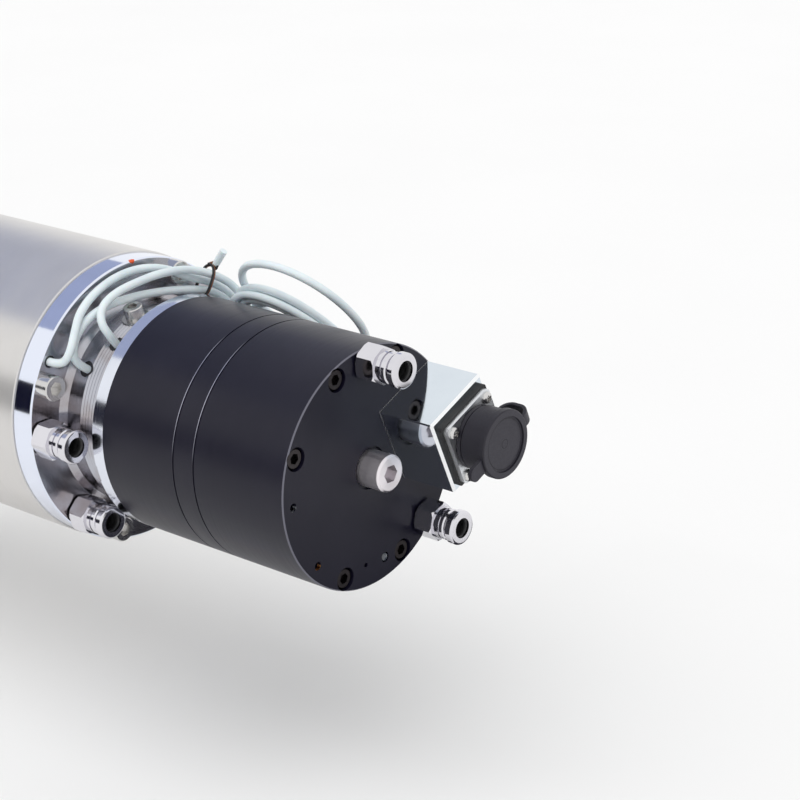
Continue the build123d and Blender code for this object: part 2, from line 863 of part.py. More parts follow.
def disc_springs():
    """Stack of disc springs in series between the shaft's seat and the drawbar's nut."""
    springs = []
    for i in range(spring_count):
        near = spring_seat + 0.02 + spring_pitch * i
        lean = spring_cone if i % 2 else 0.0
        rise = spring_cone - lean
        springs.append(
            turned(
                [
                    (near + rise, spring_inner_radius),
                    (near + rise + spring_thickness, spring_inner_radius),
                    (near + lean + spring_thickness, spring_outer_radius),
                    (near + lean, spring_outer_radius),
                ]
            )
        )
    return springs


def drawbar():
    """Drawbar with its gripper head, which carries the balls, and its tail."""
    head_radius_ = gripper_bore_radius - running_gap
    head_rear = gripper_front + gripper_length
    solid = turned(
        [
            (gripper_front, gripper_socket_radius),
            (gripper_front, head_radius_ - 0.5),
            (gripper_front + 0.5, head_radius_),
            (head_rear, head_radius_),
            (head_rear, drawbar_radius),
            (drawbar_nut_rear, drawbar_radius),
            (drawbar_nut_rear, drawbar_tail_radius),
            (drawbar_disc_front, drawbar_tail_radius),
            (drawbar_disc_front, drawbar_disc_radius),
            (drawbar_rear, drawbar_disc_radius),
            (drawbar_rear, 3.0),
            (head_rear - 5, 3.0),
            (head_rear - 5, gripper_socket_radius),
        ]
    )
    pocket = Pos(grip_ball_x, 0, 0) * Rot(-90, 0, 0)
    pocket = pocket * Pos(0, 0, head_radius_) * Cylinder(grip_ball_radius + 0.1, head_radius_ * 1.6)
    return cut_all(solid, [Rot(angle, 0, 0) * pocket for angle in steps(4)])


def drawbar_nut():
    """Nut on the drawbar that the springs push against."""
    rim = spring_bore_radius - running_gap
    nut = ring(drawbar_nut_front, drawbar_nut_rear, rim, drawbar_radius + assembly_gap)
    return chamfer(nut.edges().filter_by(GeomType.CIRCLE).group_by(SortBy.RADIUS)[-1], 0.6)


def adapter_ring():
    """Bright ring between waist and release cylinder, with the push rod's bore and seal."""
    cavity = waist_radius - waist_wall - assembly_gap
    bore = push_rod_radius + running_gap
    solid = turned(
        [
            (adapter_front - adapter_spigot, bore),
            (adapter_front - adapter_spigot, cavity),
            (adapter_front, cavity),
            (adapter_front, cylinder_radius - adapter_chamfer),
            (adapter_front + adapter_chamfer, cylinder_radius),
            (chamber_front, cylinder_radius),
            (chamber_front, bore),
        ]
    )
    solid = solid - seal_groove(adapter_front + adapter_seal_offset, bore - 1, bore + groove_depth)
    notch = Pos(adapter_front, 0, 0) * Box(2.4, 3.0, adapter_notch_width)
    solid = solid - around(symmetry_angle + adapter_notch_step, cylinder_radius) * notch
    long_hole = bar(adapter_front + long_screw_tip - 0.5, chamber_front, long_screw_size / 2 + assembly_gap)
    solid = cut_all(solid, polar(long_hole, screw_angles(), cylinder_screw_circle))
    hole = bar(adapter_front, chamber_front, adapter_screw_size / 2 + screw_gap)
    hole = hole + bar(adapter_screw_seat, chamber_front, head_radius(adapter_screw_size) + screw_gap)
    return cut_all(solid, polar(hole, adapter_screw_angles(), adapter_screw_circle))


def cylinder_front():
    """Front section of the release cylinder."""
    tube = ring(chamber_front, divider_front, cylinder_radius, cylinder_bore_radius)
    tube = tube - seam(divider_front)
    return drilled(tube, chamber_front, divider_front)


def cylinder_divider():
    """Middle section, the wall between the two air chambers."""
    bore = middle_rod_radius + running_gap
    plate = ring(divider_front, divider_rear, cylinder_radius, bore)
    plate = plate - seal_groove(divider_middle, bore - 1, bore + groove_depth)
    plate = plate - seam(divider_rear)
    return drilled(plate, divider_front, divider_rear)


def cylinder_rear():
    """Rear section with the end wall that carries fittings, connector box and screws."""
    cup = bar(divider_rear, rear_face, cylinder_radius)
    cup = chamfer(cup.edges().group_by(Axis.X)[-1], adapter_chamfer)
    cup = cup - bar(divider_rear, end_wall_front, cylinder_bore_radius)
    tail_bore = tail_radius + running_gap
    cup = cup - bar(end_wall_front, rear_face, tail_bore)
    cup = cup - bar(rear_face - tail_recess, rear_face, tail_radius + tail_recess_width)
    cup = cup - seal_groove(end_wall_front + tail_seal_offset, tail_bore - 1, tail_bore + groove_depth)
    cup = drilled(cup, divider_rear, rear_face)
    head_room = head_radius(long_screw_size) + 3 * screw_gap
    head = bar(rear_face - long_screw_sink, rear_face, head_room)
    cup = cut_all(cup, polar(head, screw_angles(), cylinder_screw_circle))
    port = bar(rear_face - port_thread_length - 1, rear_face, port_thread_radius + assembly_gap)
    cup = cut_all(cup, polar(port, air_angles(), air_fitting_circle))
    tapped = bar(rear_face - tapped_hole_depth, rear_face, tapped_hole_radius)
    sides = [symmetry_angle - tapped_hole_step, symmetry_angle + tapped_hole_step]
    cup = cut_all(cup, polar(tapped, sides, tapped_hole_circle))
    cup = cup - around(vent_angle, vent_circle) * bar(rear_face - vent_depth, rear_face, vent_radius)
    seat = bar(rear_face - 2 * plug_radius, rear_face, plug_radius + assembly_gap)
    cup = cup - around(plug_angle, plug_circle) * seat
    anchor = bar(rear_face - box_screw_grip - 1, rear_face, box_screw_size / 2 + assembly_gap)
    for place in box_screw_places():
        cup = cup - place * anchor
    return cup - on_connector_axis() * bar(rear_face - wire_hole_depth, rear_face, wire_hole_radius)


def seam(x):
    """Shallow groove that marks a joint between two cylinder sections."""
    return ring(x - seam_width, x, cylinder_radius + 1, cylinder_radius - seam_depth)


def drilled(solid, x0, x1):
    """Cylinder section with the holes of the long screws."""
    hole = bar(x0, x1, long_screw_size / 2 + screw_gap)
    return cut_all(solid, polar(hole, screw_angles(), cylinder_screw_circle))


def cylinder_screws():
    """Long screws of the release cylinder, and the short ones of its adapter ring."""
    seat = rear_face - long_screw_sink
    long_screw = cap_screw(seat, long_screw_size, seat - adapter_front - long_screw_tip)
    length = adapter_screw_seat - adapter_front + adapter_screw_grip
    short_screw = cap_screw(adapter_screw_seat, adapter_screw_size, length)
    return [
        *polar(long_screw, screw_angles(), cylinder_screw_circle),
        *polar(short_screw, adapter_screw_angles(), adapter_screw_circle),
    ]


def piston_front():
    """Front piston with the push rod and the rod through the middle wall."""
    rest = divider_front - piston_rest_gap
    front = rest - piston_front_length
    rod_end = end_wall_front - piston_rest_gap - piston_rear_length
    rim = cylinder_bore_radius - running_gap * 4
    solid = turned(
        [
            (push_rod_front, 0),
            (push_rod_front, push_rod_radius - 1),
            (push_rod_front + 1, push_rod_radius),
            (front, push_rod_radius),
            (front, rim),
            (rest, rim),
            (rest, middle_rod_radius),
            (rod_end, middle_rod_radius),
            (rod_end, 0),
        ]
    )
    return solid - seal_groove((front + rest) / 2, rim - groove_depth, rim + 1)


def piston_rear():
    """Rear piston with the tail that shows behind the rear face."""
    rest = end_wall_front - piston_rest_gap
    front = rest - piston_rear_length
    rim = cylinder_bore_radius - running_gap * 4
    tail_end = rear_face + tail_projection
    solid = turned(
        [
            (front, 0),
            (front, rim),
            (rest, rim),
            (rest, tail_radius),
            (tail_end - 1, tail_radius),
            (tail_end, tail_radius - 1),
            (tail_end, 0),
        ]
    )
    solid = solid - seal_groove((front + rest) / 2, rim - groove_depth, rim + 1)
    return solid - hex_bar(tail_end - tail_socket_depth, tail_end + 1, tail_socket_flats)


def piston_seals():
    """Seals in the rims of both pistons."""
    rim = cylinder_bore_radius - running_gap * 4
    middles = (
        divider_front - piston_rest_gap - piston_front_length / 2,
        end_wall_front - piston_rest_gap - piston_rear_length / 2,
    )
    return [ring_seal(x, rim - seal_radius - 0.1) for x in middles]


def housing_seals():
    """O-rings of jacket, push rod, middle rod and tail, and the fittings' flat washers."""
    shift = seal_radius + running_gap + 0.15
    return [
        *[ring_seal(x, bore_radius - seal_radius - 0.15) for x in jacket_seal_places()],
        ring_seal(adapter_front + adapter_seal_offset, push_rod_radius + shift),
        ring_seal(divider_middle, middle_rod_radius + shift),
        ring_seal(end_wall_front + tail_seal_offset, tail_radius + shift),
        *fitting_washers(),
    ]


def vent_plug():
    """Small ball pressed into the rear face as a plug."""
    middle = rear_face - plug_radius + plug_rise
    return around(plug_angle, plug_circle) * Pos(middle, 0, 0) * Sphere(plug_radius)


def push_fitting(seat):
    """Hexagonal push-in fitting on a seat, with its thread towards -X."""
    base = seat + fitting_washer
    hex_top = base + hex_length
    barrel_top = hex_top + barrel_length
    body = hex_bar(base, hex_top, hex_flats)
    body = body & turned(
        [
            (base, 0),
            (base, hex_corner - hex_chamfer),
            (base + hex_chamfer, hex_corner),
            (hex_top - hex_chamfer, hex_corner),
            (hex_top, hex_corner - hex_chamfer),
            (hex_top, 0),
        ]
    )
    body = body + bar(hex_top, barrel_top, barrel_radius)
    middle = hex_top + barrel_length * barrel_groove_place
    body = body - ring(
        middle - barrel_groove / 2, middle + barrel_groove / 2, barrel_radius + 1, barrel_radius - 1
    )
    body = chamfer(body.edges().filter_by(GeomType.CIRCLE).group_by(Axis.X)[-1], 0.6)
    body = body + bar(seat - port_thread_length, base, port_thread_radius)
    body = body - bar(seat - port_thread_length, base + socket_floor, port_bore_radius)
    body = body - bar(base + socket_floor, barrel_top, tube_radius + running_gap)
    sleeve_room = barrel_top - release_sleeve_length - release_travel
    return body - bar(sleeve_room, barrel_top, release_sleeve_radius + running_gap * 2)


def release_ring(seat):
    """Collar that is pressed to let the tube go."""
    barrel_top = seat + fitting_washer + hex_length + barrel_length
    start = barrel_top + release_gap
    end = start + release_length
    collar = bar(start, end, release_radius)
    collar = fillet(collar.edges().group_by(Axis.X)[-1], 1.2)
    collar = chamfer(collar.edges().group_by(Axis.X)[0], 0.5)
    collar = collar + bar(start - release_gap - release_sleeve_length + 1, start, release_sleeve_radius)
    return collar - bar(seat, end, tube_radius + running_gap)


def fitting_places():
    """Seat and place of each fitting: two for air, two for coolant."""
    places = [(rear_face, around(angle, air_fitting_circle)) for angle in air_angles()]
    places += [(flange_rear, around(angle, coolant_fitting_circle)) for angle in coolant_angles()]
    return places


def fitting_washers():
    """Flat washers under the fittings."""
    return [
        place * ring(seat, seat + fitting_washer, washer_radius, port_thread_radius + assembly_gap)
        for seat, place in fitting_places()
    ]


def on_connector_axis(turn=0.0):
    """Place on the connector's axis, turned so that its own +Y points outwards."""
    return Pos(0, connector_y, connector_z) * Rot(box_angle + turn, 0, 0)


def box_screw_places():
    """Places of the four screws inside the connector box."""
    reach_y = box_depth / 2 - box_wall - box_screw_corner
    reach_z = box_width / 2 - box_wall - box_screw_corner
    return [
        on_connector_axis() * Pos(0, y, z) for y in (-reach_y, reach_y) for z in (-reach_z, reach_z)
    ]


def connector_box():
    """Hollow anodised block that carries the power connector."""
    block = Pos(rear_face + box_height / 2, 0, 0) * Box(box_height, box_depth, box_width)
    block = chamfer(block.edges().group_by(Axis.X)[-1], box_chamfer)
    block = chamfer(block.edges().filter_by(Axis.X), box_edge)
    room_height = box_height - box_floor
    room = Pos(box_top - room_height / 2, 0, 0)
    room = room * Box(room_height, box_depth - 2 * box_wall, box_width - 2 * box_wall)
    block = block - fillet(room.edges().filter_by(Axis.X), box_room_fillet)
    pillar = bar(box_top - box_pillar_length, box_top, box_pillar_radius)
    tapped = bar(box_top - plate_screw_grip - thread_room, box_top, plate_screw_radius + assembly_gap)
    for y, z in plate_screw_offsets():
        block = block + Pos(0, y, z) * pillar
    for y, z in plate_screw_offsets():
        block = block - Pos(0, y, z) * tapped
    block = on_connector_axis() * (block - bar(rear_face, rear_face + box_floor, wire_hole_radius))
    hole = bar(rear_face, rear_face + box_floor, box_screw_size / 2 + assembly_gap * 4)
    return cut_all(block, [place * hole for place in box_screw_places()])


def box_screws():
    """Screws inside the box that hold it on the rear face."""
    screw = cap_screw(rear_face + box_floor, box_screw_size, box_floor + box_screw_grip)
    return [place * screw for place in box_screw_places()]


def square_plate(x0, x1, side, corner):
    """Square plate across the connector's axis, with rounded corners."""
    plate = Pos((x0 + x1) / 2, 0, 0) * Box(x1 - x0, side, side)
    return fillet(plate.edges().filter_by(Axis.X), corner)


def plate_screw_offsets():
    """Offsets of the four screws in the connector's square plate."""
    half = plate_screw_spacing / 2
    return [(y, z) for y in (-half, half) for z in (-half, half)]


def box_gasket():
    """Rubber gasket between box and connector plate."""
    gasket = square_plate(box_top, gasket_top, gasket_side, 1.5)
    gasket = gasket - bar(box_top, gasket_top, shell_radius - shell_wall)
    for y, z in plate_screw_offsets():
        gasket = gasket - Pos(0, y, z) * bar(box_top, gasket_top, plate_screw_radius + screw_gap)
    return on_connector_axis() * gasket


def connector_shell():
    """Square plate with the threaded round shell of the connector."""
    shell = square_plate(gasket_top, plate_top, plate_side, plate_corner)
    shell = shell + bar(plate_top, shell_top, shell_radius)
    shell = chamfer(shell.edges().filter_by(GeomType.CIRCLE).group_by(Axis.X)[-1], 0.6)
    start = plate_top + neck_ring_length + 1.6
    shell = shell - ring(
        plate_top + 0.2, start, shell_radius + 1, shell_radius - 0.5
    )
    shell = shell - bar(gasket_top, shell_top, shell_radius - shell_wall)
    for y, z in plate_screw_offsets():
        shell = shell - Pos(0, y, z) * bar(gasket_top, plate_top, plate_screw_radius + screw_gap)
    return on_connector_axis() * shell


def connector_insert():
    """Insulating insert with a key rib, and the gold pins that it holds."""
    face = shell_top - insert_depth
    rim = shell_radius - shell_wall - assembly_gap
    start = gasket_top - insert_rear
    insert = bar(start, face, rim) - bar(start, gasket_top, rim - insert_rim)
    pin = bar(gasket_top - pin_rear, face + pin_reach - pin_radius, pin_radius)
    pin = pin + Pos(face + pin_reach - pin_radius, 0, 0) * Sphere(pin_radius)
    places = [around(angle, pin_circle) for angle in steps(pin_count, 180.0 / pin_count)]
    for place in places:
        insert = insert - place * bar(start, face, pin_radius + assembly_gap)
    pins = [on_connector_axis() * place * pin for place in places]
    return on_connector_axis() * insert, pins


def plate_screws():
    """Pan head screws of the connector's square plate, with cross slots."""
    screws = []
    for y, z in plate_screw_offsets():
        top = plate_top + plate_screw_head_height
        screw = bar(plate_top, top, plate_screw_head_radius)
        screw = fillet(screw.edges().group_by(Axis.X)[-1], plate_screw_head_height * 0.7)
        screw = screw + bar(box_top - plate_screw_grip, plate_top, plate_screw_radius)
        for turn in (0, 90):
            screw = screw - Rot(turn, 0, 0) * Pos(top, 0, 0) * Box(*cross_slot)
        screws.append(on_connector_axis() * Pos(0, y, z) * screw)
    return screws


def connector_cap():
    """Rubber dust cap with a raised rim and a pull tab."""
    inner = shell_radius + soft_gap
    cap = bar(cap_start, cap_disc_start + 0.01, inner + cap_wall) + bar(
        cap_disc_start, cap_end, cap_disc_radius
    )
    cap = fillet(cap.edges().group_by(Axis.X)[-1], 0.8)
    cap = cap - bar(cap_start, cap_disc_start, inner)
    cap = cap - bar(cap_end - cap_rim_height, cap_end, cap_disc_radius - cap_rim_width)
    tab_length = cap_tab_reach + 2
    tab = Pos(cap_disc_start + 1.0, -(cap_disc_radius + cap_tab_reach / 2 - 1), 0)
    tab = tab * Box(2.0, tab_length, cap_tab_width)
    tip = max(0.5, cap_tab_width / 2 - 0.2)
    tab = fillet(tab.edges().filter_by(Axis.X).group_by(Axis.Y)[0], tip)
    return on_connector_axis() * (cap + tab)


def cap_strap():
    """Neck ring round the shell with the strap that holds the cap."""
    inner = shell_radius - 0.2
    start = plate_top + soft_gap
    neck = ring(start, start + neck_ring_length, inner + neck_ring_wall, inner)
    rise = inner + neck_ring_wall - 0.8
    out = cap_disc_radius + strap_reach
    top = cap_disc_start + cap_disc_length * 0.5
    path = FilletPolyline(
        (start + neck_ring_length / 2, rise, 0),
        (start + neck_ring_length / 2, out, 0),
        (top, out, 0),
        (top, cap_disc_radius + soft_gap, 0),
        radius=strap_reach * 0.85,
    )
    section = Plane(origin=path @ 0, x_dir=(0, 0, 1), z_dir=path % 0) * Rectangle(
        strap_width, strap_thickness
    )
    return on_connector_axis() * (neck + sweep(section, path=path))


def sensors():
    """Two proximity sensors through the waist and one thermal probe in the flange."""
    solids = []
    for offset, angle, tip in sensor_places:
        body = bar(tip, sensor_head, sensor_radius)
        solids.append(on_waist(offset, angle) * body)
    probe = bar(flange_rear - probe_length, flange_rear, lead_radius + probe_wall)
    solids.append(around(probe_angle, probe_circle) * probe)
    return solids


def cylindrical(x, angle, radius):
    """Point from its axial place, angle and distance to the axis."""
    return (x, radius * cos(radians(angle)), radius * sin(radians(angle)))


def hank_point(x, slope, height):
    """Point in the hank's own leaning frame: along X, up the slope, away from the axis."""
    lean = radians(hank_angle)
    return (
        x,
        height * cos(lean) - slope * sin(lean),
        height * sin(lean) + slope * cos(lean),
    )


def over_waist(offset, angle, rise):
    """Point of a route behind the flange, at a height over the waist."""
    return cylindrical(flange_rear + offset, angle, waist_radius + rise)


def over_probe(offset, angle, rise):
    """Point of a route behind the flange, at a height over the thermal probe's circle."""
    return cylindrical(flange_rear + offset, angle, probe_circle + rise)


def into_hank(offset, slope, rise):
    """Point of a route behind the flange in the hank's frame, at a height over its inner side."""
    return hank_point(flange_rear + offset, slope, hank_inner + rise)


# Routes of the leads, from their exits over the waist to the hank
lead_routes = {
    "lead_speed": [
        over_waist(9.4, 147.0, -sensor_recess),
        over_waist(9.4, 147.0, 7.5),
        over_waist(9.2, 143.2, 12.8),
        over_waist(9.0, 137.0, 15.6),
        over_waist(8.8, 128.5, 15.5),
        over_waist(9.2, 118.0, 12.5),
        over_waist(10.5, 104.0, 8.0),
        over_waist(12.0, 88.0, 5.8),
        over_waist(14.5, 71.0, 7.2),
        into_hank(14.8, 15.5, 2.5),
        into_hank(17.8, 3.0, 4.9),
    ],
    "lead_clamp": [
        over_waist(19.4, 129.0, -sensor_recess),
        over_waist(19.4, 129.0, 7.5),
        over_waist(16.8, 127.3, 13.5),
        over_waist(13.2, 122.0, 16.6),
        over_waist(12.6, 113.0, 16.8),
        over_waist(13.2, 101.0, 15.3),
        over_waist(14.4, 87.0, 16.0),
        over_waist(15.6, 71.0, 18.2),
        into_hank(19.8, 18.0, 9.7),
        into_hank(23.2, 7.0, 9.9),
    ],
    "lead_thermal": [
        over_probe(0.0, probe_angle, 0.0),
        over_probe(9.0, probe_angle, 0.0),
        over_probe(13.9, 145.2, 2.2),
        over_probe(12.6, 137.0, 4.4),
        over_probe(7.6, 128.8, 4.4),
        over_probe(4.4, 118.0, 3.2),
        over_probe(3.6, 105.0, 2.6),
        over_probe(5.4, 92.0, 2.2),
        over_probe(9.8, 80.5, 0.6),
        over_waist(13.0, 70.5, 13.2),
        into_hank(12.6, 15.5, 7.5),
        into_hank(15.6, 0.5, 9.9),
    ],
}


def turn_radii(points):
    """Radius of each arc of a route: 0.45 of the shorter run over the tangent of half the turn."""
    radii = []
    for before, here, after in zip(points, points[1:], points[2:]):
        run_in = Vector(*here) - Vector(*before)
        run_out = Vector(*after) - Vector(*here)
        half_turn = radians(run_in.get_angle(run_out)) / 2
        radii.append(0.45 * min(run_in.length, run_out.length) / tan(half_turn))
    return radii


def lead(name):
    """Tube of one sensor lead along its route."""
    points = lead_routes[name]
    radii = turn_radii(points)
    path = FilletPolyline(*points, radius=radii)
    section = Plane(origin=path @ 0, z_dir=path % 0) * Circle(lead_radius)
    tube = sweep(section, path=path)
    print(name, "arc radii", [round(r, 1) for r in radii], "length", round(path.length, 1))
    print(name, "volume over section times length", round(
        tube.volume / (pi * lead_radius**2 * path.length), 4))
    return tube


def lead_hank():
    """Outer shape of the coiled leads, leaning on the release cylinder."""
    inward = hank_point(0, 0, -1)
    outer_side = hank_point(0, 0, hank_inner + hank_thickness)
    plane = Plane(origin=outer_side, x_dir=(1, 0, 0), z_dir=inward)
    main = Pos(hank_centre_x, hank_centre_slope) * (
        Ellipse(hank_half_length, hank_half_height)
        - Ellipse(hank_half_length - hank_band, hank_half_height - hank_band)
    )
    loop = Pos(loop_centre_x, loop_centre_slope) * (
        Ellipse(loop_half_length, loop_half_height)
        - Ellipse(loop_half_length - loop_band, loop_half_height - loop_band)
    )
    return extrude(plane * (main + loop), amount=hank_thickness)


def lead_tie():
    """Twist of wire that holds the three leads together before the hank."""
    place = Pos(*cylindrical(flange_rear + tie_offset, tie_angle, tie_circle)) * Rot(tie_angle, 0, 0)
    corner = tie_width / 3
    outer = RectangleRounded(
        tie_height + 2 * tie_wall, tie_width + 2 * tie_wall, corner + tie_wall
    )
    inner = RectangleRounded(tie_height, tie_width, corner)
    hoop = extrude(outer - inner, amount=tie_length / 2, both=True)
    return place * Rot(0, 0, 90) * hoop


def build():
    """Write every node."""
    save("body_jacket", body_jacket())
    save("cooling_jacket", cooling_jacket())
    core, windings = stator()
    save("stator_core", core)
    save("stator_windings", windings)
    save("front_housing", front_housing())
    save("front_cover", front_cover())
    save("front_screws", front_screws())
    front_outer, front_inner, front_set = bearing_pair(front_seat_start, front_second, front_bearing)
    save("front_bearing_outer_rings", front_outer)
    save("front_bearing_inner_rings", front_inner)
    save("front_bearing_balls", front_set)
    rear_outer, rear_inner, rear_set = bearing_pair(rear_seat_start, rear_second, rear_bearing)
    save("rear_bearing_outer_rings", rear_outer)
    save("rear_bearing_inner_rings", rear_inner)
    save("rear_bearing_balls", rear_set)
    outer_spacers, inner_spacers = spacers()
    save("outer_spacers", outer_spacers)
    save("inner_spacers", inner_spacers)
    save("lock_nuts", lock_nuts())
    save("rear_housing", rear_housing())
    save("rear_flange_bolts", rear_flange_bolts())
    save("rear_bearing_cap", bearing_cap())
    save("spindle_shaft", shaft())
    save("drive_keys", drive_keys())
    save("rotor_core", rotor())
    save("sensor_target", sensor_target())
    save("disc_springs", disc_springs())
    save("drawbar", drawbar())
    save("drawbar_nut", drawbar_nut())
    for i, angle in enumerate(steps(4)):
        ball = Rot(angle, 0, 0) * Pos(grip_ball_x, grip_ball_circle, 0) * Sphere(grip_ball_radius)
        save(f"gripper_ball_{i + 1}", ball)
    save("adapter_ring", adapter_ring())
    save("cylinder_front", cylinder_front())
    save("cylinder_divider", cylinder_divider())
    save("cylinder_rear", cylinder_rear())
    save("cylinder_screws", cylinder_screws())
    save("piston_front", piston_front())
    save("piston_rear", piston_rear())
    save("piston_seals", piston_seals())
    save("housing_seals", housing_seals())
    save("vent_plug", vent_plug())
    places = fitting_places()
    save("push_fittings", [place * push_fitting(seat) for seat, place in places])
    for i, (seat, place) in enumerate(places):
        save(f"release_ring_{i + 1}", place * release_ring(seat))
    save("connector_box", connector_box())
    save("box_screws", box_screws())
    save("box_gasket", box_gasket())
    save("connector_shell", connector_shell())
    insert, pins = connector_insert()
    save("connector_insert", insert)
    save("connector_pins", pins)
    save("plate_screws", plate_screws())
    save("connector_cap", connector_cap())
    save("cap_strap", cap_strap())
    save("sensors", sensors())
    for name in lead_routes:
        save(name, lead(name))
    save("lead_hank", lead_hank())
    save("lead_tie", lead_tie())


build()
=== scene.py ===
"""Looks of a motor spindle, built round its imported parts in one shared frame, in metres."""

import logging
from dataclasses import dataclass
from enum import Enum
from math import cos, radians, sin, tau
from typing import Any

import bmesh
import bpy
from mathutils import Matrix, Vector


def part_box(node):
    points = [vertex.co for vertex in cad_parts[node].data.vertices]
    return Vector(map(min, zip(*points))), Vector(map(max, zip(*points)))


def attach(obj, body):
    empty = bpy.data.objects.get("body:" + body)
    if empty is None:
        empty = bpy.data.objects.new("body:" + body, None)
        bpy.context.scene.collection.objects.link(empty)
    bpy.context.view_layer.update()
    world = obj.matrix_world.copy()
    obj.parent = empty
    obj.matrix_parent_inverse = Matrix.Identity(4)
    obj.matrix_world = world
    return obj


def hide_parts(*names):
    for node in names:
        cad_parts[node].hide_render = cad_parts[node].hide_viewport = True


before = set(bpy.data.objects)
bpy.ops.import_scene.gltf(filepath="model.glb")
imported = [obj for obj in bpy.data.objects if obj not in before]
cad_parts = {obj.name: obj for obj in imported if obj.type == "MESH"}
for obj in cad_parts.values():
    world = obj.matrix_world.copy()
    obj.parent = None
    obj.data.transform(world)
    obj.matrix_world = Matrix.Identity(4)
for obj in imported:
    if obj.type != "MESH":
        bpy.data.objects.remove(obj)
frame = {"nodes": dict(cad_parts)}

log = logging.getLogger("motor_spindle")

MM = 0.001
WAIST_LENGTH = 28.5
EDGE = 0.0001
SLANT = (0.45, 0.9)
MARK_RANGE = (0.25, 0.75)
GRAIN_RANGE = (0.3, 0.7)
CLOUD_RANGE = (0.4, 0.75)

Pair = tuple[float, float]
Place = tuple[float, float, float]
Colour = tuple[float, float, float]
Piece = bpy.types.Object
Material = bpy.types.Material
Socket = bpy.types.NodeSocket


class Axis(Enum):
    """Direction that the marks of a machined surface run round or along."""

    ROUND_X = "round_x"
    ALONG_X = "along_x"
    NONE = "none"


